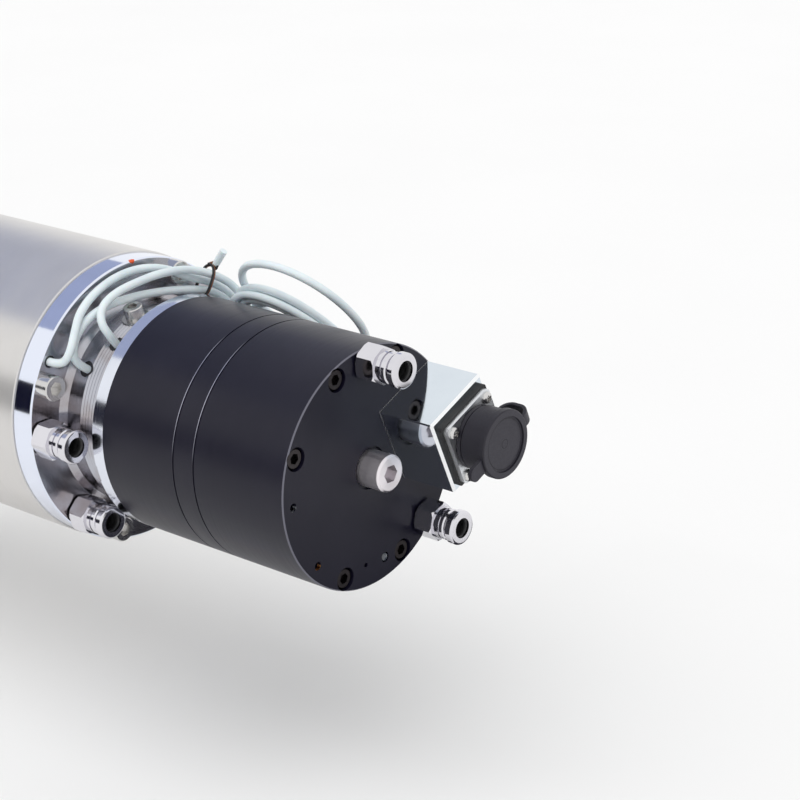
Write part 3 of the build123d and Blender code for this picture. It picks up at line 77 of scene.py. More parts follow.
class Bench:
    """One material on the bench, with helpers that add and join its shader nodes."""

    def __init__(self, name: str) -> None:
        """Start a material with an empty Principled shader.

        Args:
            name: The material's name.
        """
        self.material = bpy.data.materials.new(name)
        self.material.use_nodes = True
        self.tree = self.material.node_tree
        self.shader = self.tree.nodes["Principled BSDF"]
        self.object_point = self.add("ShaderNodeTexCoord").outputs["Object"]

    def add(self, kind: str, **settings: Any) -> bpy.types.Node:
        """Add one node.

        Args:
            kind: The node's type name.
            settings: Its attributes, or values of its inputs by name with spaces as underscores.

        Returns:
            The new node.
        """
        node = self.tree.nodes.new(kind)
        for key, value in settings.items():
            label = key.replace("_", " ").title()
            if label in node.inputs:
                node.inputs[label].default_value = value
            else:
                setattr(node, key, value)
        return node

    def join(self, source: Socket, target: Socket) -> None:
        """Link two sockets, source first."""
        self.tree.links.new(source, target)

    def feed(self, name: str, source: Socket) -> None:
        """Link a socket to the shader's input of that name."""
        self.join(source, self.shader.inputs[name])

    def math(self, operation: str, first: Socket | float, second: Socket | float = 0.0) -> Socket:
        """Result of a math node.

        Args:
            operation: The operation's name.
            first: A socket or a number.
            second: A socket or a number.

        Returns:
            The output socket.
        """
        node = self.add("ShaderNodeMath", operation=operation)
        for socket, value in zip(node.inputs, (first, second)):
            if isinstance(value, (int, float)):
                socket.default_value = value
            else:
                self.join(value, socket)
        return node.outputs[0]

    def times(self, first: Socket | float, second: Socket | float) -> Socket:
        """Product of two values."""
        return self.math("MULTIPLY", first, second)

    def split(self, vector: Socket) -> tuple[Socket, Socket, Socket]:
        """Take a vector apart.

        Args:
            vector: The vector socket.

        Returns:
            Its X, Y and Z sockets.
        """
        node = self.add("ShaderNodeSeparateXYZ")
        self.join(vector, node.inputs[0])
        return node.outputs[0], node.outputs[1], node.outputs[2]

    def radius(self, centre: Pair = (0.0, 0.0)) -> Socket:
        """Distance of the shaded point from an axis along X.

        Args:
            centre: Y and Z of the axis, in metres.

        Returns:
            The distance, in metres.
        """
        _, across, upward = self.split(self.object_point)
        dy = self.math("SUBTRACT", across, centre[0])
        dz = self.math("SUBTRACT", upward, centre[1])
        squares = self.math("ADD", self.times(dy, dy), self.times(dz, dz))
        return self.math("SQRT", squares)

    def stretched(self, axis: Axis, fine: float, coarse: float) -> Socket:
        """Coordinates in which noise turns into machining marks.

        Args:
            axis: How the marks run.
            fine: Marks per metre across the marks.
            coarse: Changes per metre along the marks.

        Returns:
            The vector socket.
        """
        along, across, upward = self.split(self.object_point)
        node = self.add("ShaderNodeCombineXYZ")
        if axis is Axis.ROUND_X:
            lathe = self.math("ADD", along, self.radius())
            values = ((lathe, fine), (across, coarse), (upward, coarse))
        elif axis is Axis.ALONG_X:
            values = ((along, coarse), (across, fine), (upward, fine))
        else:
            values = ((along, fine), (across, fine), (upward, fine))
        for socket, (value, scale) in zip(node.inputs, values):
            self.join(self.times(value, scale), socket)
        return node.outputs[0]

    def noise(self, vector: Socket, detail: float = 3.0, roughness: float = 0.55) -> Socket:
        """Noise from 0 to 1.

        Args:
            vector: The coordinates.
            detail: Number of finer layers.
            roughness: Strength of the finer layers.

        Returns:
            The noise socket.
        """
        node = self.add("ShaderNodeTexNoise", Scale=1.0, Detail=detail, Roughness=roughness)
        self.join(vector, node.inputs["Vector"])
        return node.outputs["Fac"]

    def grain(self, count: float, detail: float = 2.0) -> Socket:
        """Noise that is alike in all directions, with count changes per metre."""
        return self.noise(self.stretched(Axis.NONE, count, count), detail)

    def tool_marks(self, axis: Axis, fine: float, coarse: float, detail: float = 4.0) -> Socket:
        """Noise drawn out into sharp machining marks."""
        return self.noise(self.stretched(axis, fine, coarse), detail, 0.7)

    def remap(self, value: Socket, low: float, high: float,
              out_low: float, out_high: float) -> Socket:
        """Value carried smoothly from one range to another.

        Args:
            value: The input.
            low: Input at which the output is out_low.
            high: Input at which the output is out_high.
            out_low: Output at low.
            out_high: Output at high.

        Returns:
            The output socket.
        """
        node = self.add("ShaderNodeMapRange", interpolation_type="SMOOTHSTEP")
        self.join(value, node.inputs["Value"])
        ends = {"From Min": low, "From Max": high, "To Min": out_low, "To Max": out_high}
        for key, number in ends.items():
            node.inputs[key].default_value = number
        return node.outputs["Result"]

    def blend(self, factor: Socket, first: Colour | Socket, second: Colour | Socket) -> Socket:
        """Mix of two colours.

        Args:
            factor: 0 for the first colour, 1 for the second.
            first: A colour or a socket.
            second: A colour or a socket.

        Returns:
            The colour socket.
        """
        node = self.add("ShaderNodeMix", data_type="RGBA")
        self.join(factor, node.inputs[0])
        for socket, value in ((node.inputs[6], first), (node.inputs[7], second)):
            if isinstance(value, tuple):
                socket.default_value = (*value, 1.0)
            else:
                self.join(value, socket)
        return node.outputs[2]

    def band(self, value: Socket, low: float, high: float, soft: float) -> Socket:
        """Mask that is 1 where a value lies between two limits.

        Args:
            value: The input.
            low: Lower limit.
            high: Upper limit.
            soft: Width of the mask's edges, outside the limits.

        Returns:
            The mask.
        """
        rising = self.remap(value, low - soft, low, 0.0, 1.0)
        return self.times(rising, self.remap(value, high, high + soft, 1.0, 0.0))

    def bevels(self, start: float) -> Socket:
        """Mask of the slanted faces behind a place along X.

        Args:
            start: The place, in metres.

        Returns:
            The mask.
        """
        normal = self.add("ShaderNodeTexCoord").outputs["Normal"]
        lean = self.math("ABSOLUTE", self.split(normal)[0])
        along = self.split(self.object_point)[0]
        behind = self.remap(along, start, start + EDGE, 0.0, 1.0)
        return self.times(self.band(lean, *SLANT, 0.08), behind)

    def bump(self, height: Socket, depth: float, strength: float) -> None:
        """Give the shader a bump.

        Args:
            height: Height from 0 to 1.
            depth: Depth of the relief, in metres.
            strength: The node's strength.
        """
        node = self.add("ShaderNodeBump", Strength=strength, Distance=depth)
        self.join(height, node.inputs["Height"])
        self.feed("Normal", node.outputs["Normal"])

    def set(self, **values: float) -> None:
        """Set plain values on the shader's own sockets.

        Args:
            values: Values by socket name, with spaces as underscores.
        """
        for key, value in values.items():
            self.shader.inputs[key.replace("_", " ")].default_value = value


@dataclass(frozen=True)
class MachinedMetal:
    """Bare metal with the fine marks of its last tool."""

    name: str
    colour: Colour
    shade: Colour
    roughness: float = 0.22
    spread: float = 0.08
    marks: Axis = Axis.ROUND_X
    mark_count: float = 1600.0
    mark_depth: float = 0.00002
    mark_drift: float = 14.0
    clouds: float = 45.0
    anisotropy: float = 0.0

    def build(self) -> Material:
        """Make the material.

        Returns:
            The new material.
        """
        bench = Bench(self.name)
        bench.set(Metallic=1.0, Anisotropic=self.anisotropy)
        marks = bench.tool_marks(self.marks, self.mark_count, self.mark_drift)
        cloud = bench.grain(self.clouds)
        bench.feed("Base Color", bench.blend(cloud, self.colour, self.shade))
        low, high = self.roughness - self.spread / 2, self.roughness + self.spread / 2
        rough = bench.remap(marks, *MARK_RANGE, low, high)
        bench.feed("Roughness", rough)
        bench.bump(marks, self.mark_depth, 0.35)
        if self.anisotropy:
            bench.set(Anisotropic_Rotation=0.25)
            tangent = bench.add("ShaderNodeTangent", direction_type="RADIAL", axis="X")
            bench.feed("Tangent", tangent.outputs[0])
        return bench.material


@dataclass(frozen=True)
class RearHousingMetal:
    """Polished flange rim beside the darker turned waist with its fine rings."""

    name: str = "rear_housing_metal"
    rim: Colour = (0.8, 0.84, 0.95)
    waist: Colour = (0.5, 0.51, 0.56)
    tint: Colour = (0.35, 0.31, 0.31)
    rim_radius: float = 0.0735
    rings: Pair = (2400.0, 6.0)
    waves: Pair = (320.0, 5.0)
    stains: float = 38.0
    roughness: Pair = (0.14, 0.26)
    polish: float = 0.6
    relief: float = 0.00003
    mark: Colour = (0.8, 0.13, 0.05)
    mark_point: Place = (0.1378, -0.0031, 0.0741)
    mark_size: float = 0.0022
    mark_waver: float = 0.0012

    def build(self) -> Material:
        """Make the material.

        Returns:
            The new material.
        """
        bench = Bench(self.name)
        bench.set(Metallic=1.0)
        radius = bench.radius()
        on_rim = bench.remap(radius, self.rim_radius - 0.0002, self.rim_radius, 0.0, 1.0)
        rings = bench.tool_marks(Axis.ROUND_X, *self.rings)
        broad = bench.noise(bench.stretched(Axis.ROUND_X, *self.waves), 2.0)
        stain = bench.grain(self.stains, 3.0)
        turned = bench.blend(bench.remap(stain, 0.35, 0.7, 0.0, 1.0), self.waist, self.tint)
        colour = bench.blend(on_rim, turned, self.rim)
        colour = bench.blend(self.paint_mark(bench), colour, self.mark)
        bench.feed("Base Color", colour)
        rough = bench.remap(rings, *MARK_RANGE, *self.roughness)
        polished = bench.math("SUBTRACT", 1.0, bench.times(on_rim, self.polish))
        bench.feed("Roughness", bench.times(rough, polished))
        height = bench.math("ADD", bench.times(rings, 0.4), broad)
        bench.bump(bench.times(height, polished), self.relief, 0.35)
        return bench.material

    def paint_mark(self, bench: Bench) -> Socket:
        """Mask of the small paint mark on the flange's edge.

        Args:
            bench: The material's bench.

        Returns:
            The mask.
        """
        node = bench.add("ShaderNodeVectorMath", operation="DISTANCE")
        bench.join(bench.object_point, node.inputs[0])
        node.inputs[1].default_value = self.mark_point
        wobble = bench.times(bench.grain(900.0, 1.0), self.mark_waver)
        reach = bench.math("ADD", node.outputs["Value"], wobble)
        return bench.remap(reach, self.mark_size, self.mark_size + 0.0003, 1.0, 0.0)


@dataclass(frozen=True)
class PolishedBox:
    """Mirror-polished aluminium box, with painted highlights on its bevels and a thin line at its
    base.
    """

    name: str = "polished_aluminium"
    colour: Colour = (0.74, 0.8, 0.85)
    shade: Colour = (0.66, 0.72, 0.78)
    # Near-white painted highlight on the bevels and the thin line at the base.
    bevel_highlight: Colour = (0.95, 0.96, 0.97)
    clouds: float = 60.0
    waves: float = 90.0
    scuffs: Pair = (1500.0, 60.0)
    roughness: Pair = (0.05, 0.11)
    bevel_roughness: float = 0.4
    wave_depth: float = 0.00004
    bevels_from: float = 0.2946
    # Band along X, near the base, painted as a highlight line.
    foot_highlight: Pair = (0.2944, 0.29495)

    def build(self) -> Material:
        """Make the material.

        Returns:
            The new material.
        """
        bench = Bench(self.name)
        bench.set(Metallic=1.0)
        cloud = bench.grain(self.clouds, 3.0)
        wave = bench.grain(self.waves, 1.0)
        scuff = bench.tool_marks(Axis.ALONG_X, *self.scuffs, 3.0)
        along = bench.split(bench.object_point)[0]
        # Painted highlights: the bevels and a thin line at the base turn near-white and rougher.
        foot_highlight = bench.band(along, *self.foot_highlight, EDGE / 2)
        bevel_highlight = bench.math("MAXIMUM", bench.bevels(self.bevels_from), foot_highlight)
        face = bench.blend(cloud, self.colour, self.shade)
        bench.feed("Base Color", bench.blend(bevel_highlight, face, self.bevel_highlight))
        rough = bench.remap(scuff, 0.3, 0.8, *self.roughness)
        edge = bench.times(bevel_highlight, self.bevel_roughness)
        bench.feed("Roughness", bench.math("ADD", rough, edge))
        bench.bump(wave, self.wave_depth, 0.2)
        return bench.material


@dataclass(frozen=True)
class Anodised:
    """Black anodised aluminium with painted light: seam glints (partly wear), a chamfer highlight
    and hole glints.
    """

    name: str
    colour: Colour = (0.005, 0.0045, 0.014)
    dust: Colour = (0.011, 0.01, 0.022)
    clouds: float = 30.0
    specks: float = 2600.0
    marks: Pair = (2200.0, 10.0)
    mark_depth: float = 0.000012
    roughness: Pair = (0.32, 0.41)
    # Lighter uncoated metal: on one side of the seams' edges partly wear and partly a painted
    # glint, on the last chamfer a painted highlight.
    bare_and_glint: Colour = (0.42, 0.42, 0.5)
    seams: Pair = (0.22285, 0.23645)
    seam_width: float = 0.0002
    # The seams' edges are lightened only on this side, towards the light: a painted glint.
    glint_side: Pair = (-0.8, 0.6)
    glint_reach: Pair = (0.05, 0.0585)
    bevels_from: float = 0.2938
    # The last chamfer is blended this far towards lighter metal: a painted highlight.
    last_bevel_highlight: float = 0.35
    # Painted glints, orange and pale, on the lower wall of each tapped hole: axis Y, axis Z,
    # colour.
    hole_glints: tuple[tuple[float, float, Colour], ...] = (
        (-0.03716, -0.03807, (1.0, 0.5, 0.2)), (-0.05302, -0.00436, (0.8, 0.84, 0.9)))
    hole_radius: float = 0.0026
    hole_walls: Pair = (0.2922, 0.29435)

    def build(self) -> Material:
        """Make the material.

        Returns:
            The new material.
        """
        bench = Bench(self.name)
        bench.set(Specular_IOR_Level=0.3)
        marks = bench.tool_marks(Axis.ROUND_X, *self.marks)
        cloud = bench.grain(self.clouds, 3.0)
        speck = bench.grain(self.specks, 1.0)
        grime = bench.times(bench.remap(cloud, *CLOUD_RANGE, 0.0, 1.0),
                            bench.remap(speck, 0.45, 0.7, 0.3, 1.0))
        colour = bench.blend(grime, self.colour, self.dust)
        rough = bench.remap(marks, *MARK_RANGE, *self.roughness)
        bare_and_glint = self.bare_and_glint_mask(bench)
        colour = bench.blend(bare_and_glint, colour, self.bare_and_glint)
        # Paint the glints on the lower wall of each tapped hole.
        for across, upward, shade in self.hole_glints:
            hole_glint = self.hole_glint_mask(bench, across, upward)
            colour = bench.blend(hole_glint, colour, shade)
            bare_and_glint = bench.math("MAXIMUM", bare_and_glint, hole_glint)
        bench.feed("Metallic", bare_and_glint)
        bench.feed("Base Color", colour)
        bench.feed("Roughness", rough)
        bench.bump(marks, self.mark_depth, 0.3)
        return bench.material

    def bare_and_glint_mask(self, bench: Bench) -> Socket:
        """Mask of the seam edges (partly wear, partly painted glint) and the last chamfer's painted
        highlight.

        Args:
            bench: The material's bench.

        Returns:
            The mask.
        """
        along, across, upward = bench.split(bench.object_point)
        first, second = (bench.band(along, seam - self.seam_width, seam + self.seam_width, EDGE / 2)
                         for seam in self.seams)
        # Lighten the seams' edges only on the side that faces the light: painted glint.
        side = bench.math("ADD", bench.times(across, self.glint_side[0]),
                          bench.times(upward, self.glint_side[1]))
        worn_and_glint = bench.times(bench.math("MAXIMUM", first, second),
                           bench.remap(side, *self.glint_reach, 0.0, 1.0))
        last = bench.times(bench.bevels(self.bevels_from), self.last_bevel_highlight)
        return bench.math("MAXIMUM", worn_and_glint, last)

    def hole_glint_mask(self, bench: Bench, across: float, upward: float) -> Socket:
        """Mask of the painted glint on the lower wall of a tapped hole.

        Args:
            bench: The material's bench.
            across: Y of the hole's axis.
            upward: Z of the hole's axis.

        Returns:
            The mask.
        """
        around = bench.radius((across, upward))
        inside = bench.remap(around, self.hole_radius, self.hole_radius + 0.0002, 1.0, 0.0)
        along, _, height = bench.split(bench.object_point)
        # Only the lower half of the wall carries the painted glint.
        lower = bench.remap(height, upward - 0.0012, upward + 0.0002, 1.0, 0.0)
        wall = bench.times(inside, bench.band(along, *self.hole_walls, EDGE))
        return bench.times(wall, lower)


@dataclass(frozen=True)
class Moulded:
    """Rubber or plastic with its mould's fine grain."""

    name: str
    colour: Colour
    wear: Colour
    roughness: float = 0.55
    grain: float = 1800.0
    grain_depth: float = 0.00003
    clouds: float = 60.0
    specular: float = 0.4
    softness: float = 0.0

    def build(self) -> Material:
        """Make the material.

        Returns:
            The new material.
        """
        bench = Bench(self.name)
        bench.set(Specular_IOR_Level=self.specular, Subsurface_Weight=self.softness,
                  Subsurface_Scale=0.002)
        grain = bench.grain(self.grain)
        cloud = bench.grain(self.clouds, 3.0)
        colour = bench.blend(bench.remap(cloud, *CLOUD_RANGE, 0.0, 1.0), self.colour, self.wear)
        bench.feed("Base Color", colour)
        rough = bench.remap(grain, *GRAIN_RANGE, self.roughness - 0.05, self.roughness + 0.07)
        bench.feed("Roughness", rough)
        bench.bump(grain, self.grain_depth, 0.4)
        return bench.material


@dataclass(frozen=True)
class CapRubber:
    """Dust cap's rubber, paler on its end with a fine ring and a small moulded mark."""

    name: str = "cap_rubber"
    side: Colour = (0.016, 0.015, 0.022)
    end: Colour = (0.036, 0.034, 0.046)
    centre: Pair = (0.03294, 0.0155)
    ring_radius: float = 0.0124
    mark_radius: float = 0.0021
    line: float = 0.00025
    grain: float = 1400.0
    clouds: float = 90.0
    roughness: Pair = (0.42, 0.56)
    relief: float = 0.0002

    def build(self) -> Material:
        """Make the material.

        Returns:
            The new material.
        """
        bench = Bench(self.name)
        bench.set(Specular_IOR_Level=0.35)
        grain = bench.grain(self.grain)
        cloud = bench.grain(self.clouds, 3.0)
        normal = bench.add("ShaderNodeTexCoord").outputs["Normal"]
        facing = bench.remap(bench.split(normal)[0], 0.8, 0.95, 0.0, 1.0)
        distance = bench.radius(self.centre)
        lines = [bench.band(distance, r - self.line, r + self.line, 0.00015)
                 for r in (self.ring_radius, self.mark_radius)]
        shaded_groove = bench.times(bench.math("MAXIMUM", *lines), facing)
        tone = bench.times(facing, bench.remap(cloud, 0.2, 0.8, 0.75, 1.0))
        colour = bench.blend(tone, self.side, self.end)
        # Painted shade: the sunken ring lines on the end are darkened back to the side's colour.
        colour = bench.blend(bench.times(shaded_groove, 0.8), colour, self.side)
        bench.feed("Base Color", colour)
        bench.feed("Roughness", bench.remap(grain, *GRAIN_RANGE, *self.roughness))
        height = bench.math("SUBTRACT", bench.times(grain, 0.15), shaded_groove)
        bench.bump(height, self.relief, 0.5)
        return bench.material


@dataclass(frozen=True)
class Laminated:
    """Stack of thin sheets seen from their edges."""

    name: str
    colour: Colour = (0.3, 0.3, 0.31)
    gap: Colour = (0.08, 0.07, 0.07)
    sheet: float = 0.0005
    relief: float = 0.0001

    def build(self) -> Material:
        """Make the material.

        Returns:
            The new material.
        """
        bench = Bench(self.name)
        bench.set(Metallic=0.9, Roughness=0.4)
        along = bench.split(bench.object_point)[0]
        wave = bench.math("SINE", bench.times(along, tau / self.sheet))
        edge = bench.remap(wave, 0.6, 1.0, 0.0, 1.0)
        bench.feed("Base Color", bench.blend(edge, self.colour, self.gap))
        bench.bump(edge, self.relief, 0.3)
        return bench.material


@dataclass(frozen=True)
class Matte:
    """Dull, slightly uneven surface of the studio."""

    name: str
    colour: Colour
    shade: Colour
    roughness: float = 1.0
    specular: float = 0.0
    clouds: float = 4.0

    def build(self) -> Material:
        """Make the material.

        Returns:
            The new material.
        """
        bench = Bench(self.name)
        bench.set(Roughness=self.roughness, Specular_IOR_Level=self.specular)
        cloud = bench.grain(self.clouds)
        bench.feed("Base Color", bench.blend(cloud, self.colour, self.shade))
        return bench.material


class Finishes:
    """All finishes of the spindle and the nodes that wear them."""

    def __init__(self) -> None:
        """Make each finish once."""
        self.body = MachinedMetal(
            "brushed_stainless", (0.76, 0.745, 0.73), (0.68, 0.665, 0.65), roughness=0.36,
            spread=0.1, mark_count=1500.0, mark_depth=0.00001, anisotropy=0.75)
        self.boss = MachinedMetal(
            "turned_boss", (0.9, 0.86, 0.89), (0.8, 0.76, 0.79), roughness=0.32,
            spread=0.12, mark_count=1800.0, mark_depth=0.00001, anisotropy=0.8)
        self.rear_housing = RearHousingMetal()
        self.ring = MachinedMetal(
            "turned_aluminium", (0.8, 0.83, 0.91), (0.74, 0.77, 0.85), roughness=0.14,
            spread=0.06, mark_depth=0.000008)
        self.cylinder = Anodised("black_anodised")
        self.box = PolishedBox()
        self.plate = MachinedMetal(
            "satin_nickel", (0.84, 0.86, 0.88), (0.74, 0.76, 0.79), roughness=0.36,
            spread=0.12, marks=Axis.NONE, mark_count=420.0, mark_depth=0.00003)
        self.nickel = MachinedMetal(
            "bright_nickel", (0.8, 0.79, 0.83), (0.66, 0.65, 0.69), roughness=0.13,
            spread=0.06, mark_count=1800.0, mark_depth=0.000008)
        self.screw = MachinedMetal(
            "bright_screw", (0.72, 0.71, 0.7), (0.6, 0.59, 0.58), roughness=0.2,
            spread=0.1, marks=Axis.NONE, mark_count=900.0, mark_depth=0.00001)
        self.black_screw = MachinedMetal(
            "black_oxide", (0.035, 0.033, 0.036), (0.07, 0.06, 0.06), roughness=0.36,
            spread=0.12, marks=Axis.NONE, mark_count=1200.0)
        self.ground = MachinedMetal(
            "ground_steel", (0.66, 0.65, 0.63), (0.56, 0.55, 0.53), roughness=0.16, spread=0.06)
        self.turned = MachinedMetal(
            "turned_steel", (0.6, 0.59, 0.58), (0.5, 0.49, 0.48), roughness=0.24, spread=0.1)
        self.spring = MachinedMetal(
            "phosphated_spring", (0.22, 0.21, 0.2), (0.14, 0.13, 0.12), roughness=0.45)
        self.brass = MachinedMetal(
            "gold_plate", (0.85, 0.62, 0.22), (0.75, 0.5, 0.16), roughness=0.14, spread=0.05)
        self.copper = MachinedMetal(
            "enamelled_copper", (0.62, 0.24, 0.09), (0.45, 0.16, 0.06), roughness=0.3,
            spread=0.1, marks=Axis.ALONG_X, mark_count=1400.0, mark_depth=0.0001)
        self.laminated = Laminated("stacked_laminations")
        self.seal = Moulded(
            "seal_rubber", (0.012, 0.012, 0.013), (0.03, 0.03, 0.03), roughness=0.5)
        self.cap = CapRubber()
        self.plastic = Moulded(
            "black_plastic", (0.02, 0.02, 0.022), (0.04, 0.04, 0.04), roughness=0.4)
        self.sensor = Moulded(
            "sensor_plastic", (0.03, 0.03, 0.035), (0.07, 0.07, 0.07), roughness=0.4)
        self.plug = Moulded(
            "glossy_plug", (0.03, 0.035, 0.045), (0.06, 0.07, 0.09), roughness=0.16,
            grain_depth=0.00001, specular=1.0)
        self.jacket = Moulded(
            "cable_jacket", (0.78, 0.86, 0.89), (0.68, 0.77, 0.81), roughness=0.36,
            grain=700.0, grain_depth=0.00001, specular=0.5, softness=0.08)

    def table(self) -> dict[Any, tuple[str, ...]]:
        """Finish of each node.

        Returns:
            Node names by finish.
        """
        balls = tuple(f"gripper_ball_{i}" for i in range(1, 5))
        collars = tuple(f"release_ring_{i}" for i in range(1, 5))
        races = tuple(f"{end}_bearing_{piece}" for end in ("front", "rear")
                      for piece in ("outer_rings", "inner_rings", "balls"))
        return {
            self.body: ("body_jacket", "front_housing", "front_cover", "cooling_jacket"),
            self.rear_housing: ("rear_housing",),
            self.ring: ("adapter_ring",),
            self.cylinder: ("cylinder_front", "cylinder_divider", "cylinder_rear"),
            self.box: ("connector_box",),
            self.nickel: ("push_fittings", *collars),
            self.plate: ("connector_shell",),
            self.screw: ("front_screws", "rear_flange_bolts", "plate_screws", "box_screws"),
            self.black_screw: ("cylinder_screws",),
            self.ground: ("outer_spacers", "inner_spacers", *races, *balls),
            self.boss: ("piston_rear",),
            self.turned: ("spindle_shaft", "lock_nuts", "rear_bearing_cap", "sensor_target",
                          "drawbar", "drawbar_nut", "drive_keys", "piston_front"),
            self.spring: ("disc_springs",),
            self.brass: ("connector_pins",),
            self.copper: ("stator_windings",),
            self.laminated: ("stator_core", "rotor_core"),
            self.seal: ("piston_seals", "housing_seals", "box_gasket"),
            self.cap: ("connector_cap", "cap_strap"),
            self.plastic: ("connector_insert",),
            self.plug: ("vent_plug",),
            self.sensor: ("sensors",),
        }

    def dress(self, nodes: dict[str, Piece]) -> None:
        """Put every finish on its nodes.

        Args:
            nodes: The frame's objects by node name.
        """
        for finish, names in self.table().items():
            material = finish.build()
            for name in names:
                put_on(nodes[name], material)
            log.info("%s on %d nodes", material.name, len(names))


def add_object(name: str, data: bpy.types.ID) -> Piece:
    """Object put in the scene.

    Args:
        name: The object's name.
        data: Its mesh, curve, camera or light.

    Returns:
        The new object.
    """
    piece = bpy.data.objects.new(name, data)
    bpy.context.scene.collection.objects.link(piece)
    return piece


def put_on(piece: Piece, material: Material) -> None:
    """Give a piece one material in its own slots.

    Args:
        piece: The object.
        material: Its material.
    """
    if not piece.material_slots:
        piece.data.materials.append(material)
    for place in piece.material_slots:
        place.material = material


def sheet_piece(name: str, corners: list[Vector], finish: Matte) -> Piece:
    """Flat sheet with four corners.

    Args:
        name: The piece's name.
        corners: Its corners, in metres.
        finish: Its finish.

    Returns:
        The new piece.
    """
    mesh = bpy.data.meshes.new(name)
    mesh.from_pydata(corners, [], [(0, 1, 2, 3)])
    piece = add_object(name, mesh)
    put_on(piece, finish.build())
    return piece


@dataclass(frozen=True)
class Card:
    """Card outside the picture, which the bright metal mirrors.

    It is given by its middle and by the ways from there to the middles of two edges.
    """

    name: str
    centre: Place
    across: Place
    upward: Place
    shade: Colour
    contrast: float = 1.2

    def hang(self) -> None:
        """Put the card where only glossy rays meet it."""
        centre, across, upward = map(Vector, (self.centre, self.across, self.upward))
        corners = [centre - across - upward, centre + across - upward,
                   centre + across + upward, centre - across + upward]
        paler = tuple(self.contrast * part for part in self.shade)
        piece = sheet_piece(self.name, corners, Matte(self.name, self.shade, paler))
        piece.visible_camera = False
        piece.visible_diffuse = False
        piece.visible_shadow = False


@dataclass
class Studio:
    """Camera at the photo's place, plain pale floor, one soft lamp and three cards."""

    focal_length: float = 98.32
    sensor: float = 36.0
    eye: Place = (0.9321, -0.7208, 0.3584)
    right: Place = (0.758416, 0.651771, 0.0)
    up: Place = (-0.208415, 0.242516, 0.947496)
    back: Place = (0.617550, -0.718597, 0.319767)
    floor_height: float = -0.16
    floor_size: float = 14.0
    surround: float = 0.68
    lamp_from: Place = (0.1, -0.45, 1.0)
    lamp_strength: float = 1.35
    lamp_width: float = 70.0
    cards: tuple[Card, ...] = (
        Card("dark_card", (-0.62, -0.95, 0.02), (0.26, -0.17, 0.0), (0.0, 0.0, 0.18),
             (0.008, 0.008, 0.02)),
        Card("low_card", (0.35, 0.2, -0.158), (0.13, 0.0, 0.0), (0.0, 0.15, 0.0),
             (0.03, 0.03, 0.04)),
        Card("sky_card", (-0.59, 0.13, 0.5), (0.44, 0.0, 0.0), (0.0, 0.47, 0.0),
             (0.36, 0.4, 0.56)),
    )

    def camera(self) -> None:
        """Place the camera and make it the scene's own."""
        data = bpy.data.cameras.new("photo_camera")
        data.lens = self.focal_length
        data.sensor_width = self.sensor
        camera = add_object("photo_camera", data)
        turn = Matrix((self.right, self.up, self.back)).transposed().to_4x4()
        camera.matrix_world = Matrix.Translation(self.eye) @ turn
        bpy.context.scene.camera = camera

    def lamp(self) -> None:
        """Add the soft, even light from above, which glossy surfaces don't mirror."""
        data = bpy.data.lights.new("top_softbox", "SUN")
        data.energy = self.lamp_strength
        data.angle = radians(self.lamp_width)
        lamp = add_object("top_softbox", data)
        lamp.rotation_euler = (-Vector(self.lamp_from)).to_track_quat("-Z", "Y").to_euler()
        lamp.visible_glossy = False

    def floor(self) -> None:
        """Lay the floor."""
        half = self.floor_size / 2
        corners = [Vector((x * half, y * half, self.floor_height))
                   for x, y in ((-1, -1), (1, -1), (1, 1), (-1, 1))]
        finish = Matte("pale_floor", (0.93, 0.93, 0.93), (0.9, 0.9, 0.9), roughness=0.9,
                       specular=0.1, clouds=3.0)
        sheet_piece("floor", corners, finish)

    def world(self) -> None:
        """Surround that shows white and lights the scene evenly."""
        world = bpy.data.worlds.new("white_surround")
        world.use_nodes = True
        tree = world.node_tree
        background = tree.nodes["Background"]
        background.inputs["Color"].default_value = (1.0, 1.0, 1.0, 1.0)
        path = tree.nodes.new("ShaderNodeLightPath")
        seen = path.outputs["Is Camera Ray"]
        for ray in ("Is Glossy Ray", "Is Transmission Ray"):
            either = tree.nodes.new("ShaderNodeMath")
            either.operation = "MAXIMUM"
            tree.links.new(seen, either.inputs[0])
            tree.links.new(path.outputs[ray], either.inputs[1])
            seen = either.outputs[0]
        level = tree.nodes.new("ShaderNodeMapRange")
        level.inputs["To Min"].default_value = self.surround
        level.inputs["To Max"].default_value = 1.0
        tree.links.new(seen, level.inputs["Value"])
        tree.links.new(level.outputs["Result"], background.inputs["Strength"])
        bpy.context.scene.world = world

    def build(self) -> None:
        """Set up the whole studio."""
        self.camera()
        self.floor()
        self.world()
        self.lamp()
        for card in self.cards:
            card.hang()
        bpy.context.scene.view_settings.view_transform = "Standard"
        log.info("studio")


@dataclass(frozen=True)
class LeadCoil:
    """Coiled rest of one lead: stations of its turns in the leaning plane.

    Each station is (angle, centre along X, centre up the slope, half length, half height, height),
    in degrees and millimetres, and the turns run evenly from one to the next.
    """

    stations: tuple[tuple[float, ...], ...]
    points_per_turn: int = 20
    waver: float = 0.7
    waves_per_turn: float = 2.3
    phase: float = 0.0

    def points(self, lean: float) -> list[Vector]:
        """Points of the turns.

        Args:
            lean: Angle of the coil's plane.

        Returns:
            The points, in metres.
        """
        places = []
        for first, last in zip(self.stations, self.stations[1:]):
            count = max(1, round((last[0] - first[0]) / 360.0 * self.points_per_turn))
            for i in range(count):
                part = i / count
                angle, x, slope, half_x, half_slope, height = (
                    a + (b - a) * part for a, b in zip(first, last))
                turn = radians(angle)
                stray = self.waver * sin(self.waves_per_turn * turn + self.phase)
                places.append(leaning(x + (half_x + stray) * cos(turn),
                                      slope + (half_slope + stray) * sin(turn), height, lean))
        return places


